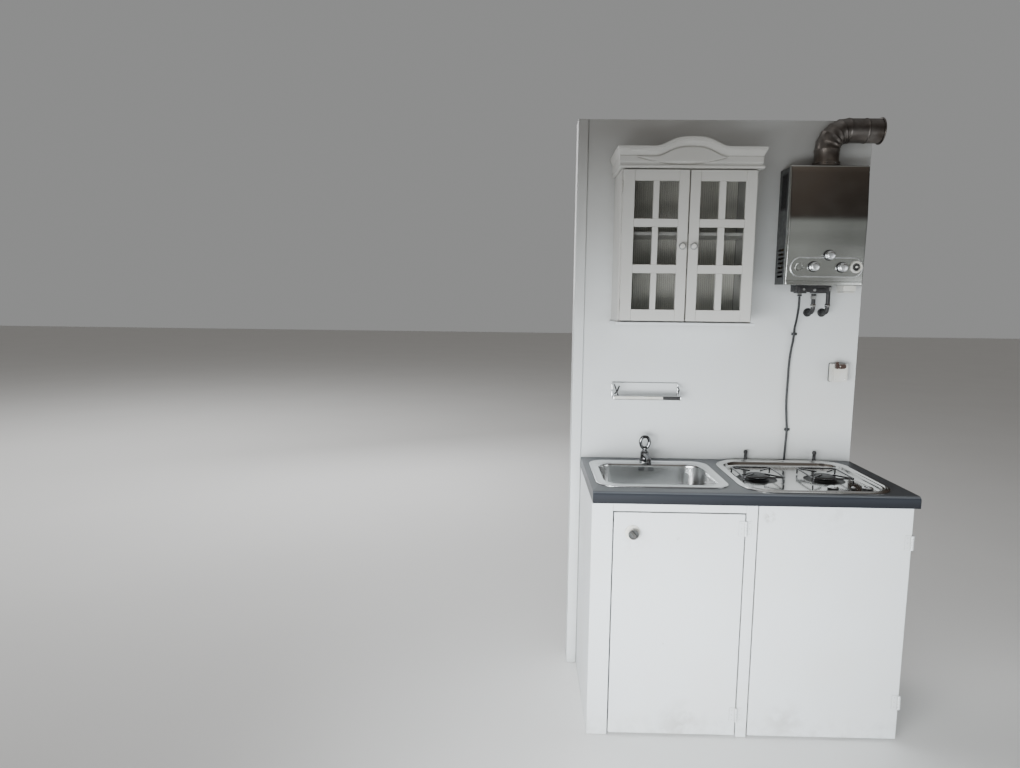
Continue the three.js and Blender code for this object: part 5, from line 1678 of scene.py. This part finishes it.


# The first layer, a dark rubber back round the box, stands in for the shadow gap at its edge: painted shade.
switch = {
    "head": 1277, "depth": 36,
    "layers": [  # inset, corner, steps, d, thickness, bevel, segments, tone
        (0, 6, 6, 0.3, 4, 0.4, 2, 2), (1.8, 5, 6, 3.5, 32.5, 2.2, 4, 0), (6, 5, 6, 35, 4, 1.2, 3, 0)],
    "lever": [  # x from the box's left, z from its head, corner, steps, thickness, bevel
        ((8, 19, -20, 7.6), 4.6, 6, 11, 2.2), ((17, 50, -20, -1.4), 9, 7, 6, 2)],
    "cap": [(2.4, 0), (2.4, 0.6), (1.8, 1)],
}


def buildSwitchBox():
    box = extent("switch_box")
    head, depth = switch["head"], switch["depth"]
    shape = bmesh.new()
    for inset, corner, steps, d, thick, bevel, segments, tone in switch["layers"]:
        outline = roundedOutline(
            box.left + inset, box.right - inset, box.foot + inset, head - inset, corner, steps,
        )
        addPrism(shape, [at(x, d, z) for x, z in outline], outward * thick * mm, bevel, segments, tone)
    for (x0, x1, z0, z1), corner, steps, thick, bevel in switch["lever"]:
        outline = roundedOutline(box.left + x0, box.left + x1, head + z0, head + z1, corner, steps)
        addPrism(shape, [at(x, depth + 2.8, z) for x, z in outline], outward * thick * mm, bevel, 3, tone=1)
    addTurned(shape, switch["cap"], at(box.left + 27, depth + 8.6, head - 10.6), outward, 24)
    makePiece(
        "switchBox", shape, "whitePlastic", "brownPlastic", "blackRubber", stands=("switch_box",),
        angle=32,
    )
    screws(
        "switchBoxScrews", [at(x, depth + 3, box.foot + 14) for x in (box.left + 14, box.right - 14)],
        radius=2.6,
    )
    print("rack and switch box made")


def placeFloor():
    side = 30
    corners = [(x, y, -0.0004) for x, y in ((-side, -side), (side, -side), (side, side), (-side, side))]
    mesh = bpy.data.meshes.new("floor")
    mesh.from_pydata(corners, [], [(0, 1, 2, 3)])
    mesh.materials.append(
        simple("studioFloor", (0.78, 0.78, 0.77), (0.80, 0.80, 0.79), (900, 2), None, rough=0.62)
    )
    floor = bpy.data.objects.new("floor", mesh)
    bpy.context.scene.collection.objects.link(floor)


placeCamera()
placeLamps()
placeSky()
placeFloor()
buildHose()
buildBoards()
buildBase()
buildLatch()
buildWorktop()
buildSink()
buildWaste()
buildTap()
buildHobTray()
buildBurners()
buildSupports()
buildControls()
buildCabinetBack()
buildCornice()
buildCabinetDoors()
buildCover()
buildHeaterControls()
buildHeaterCase()
buildFlue()
buildPipes()
buildClips()
buildRack()
buildSwitchBox()

left = [name for name, node in nodes.items() if not node.hide_render]
print("nodes still shown:", left)
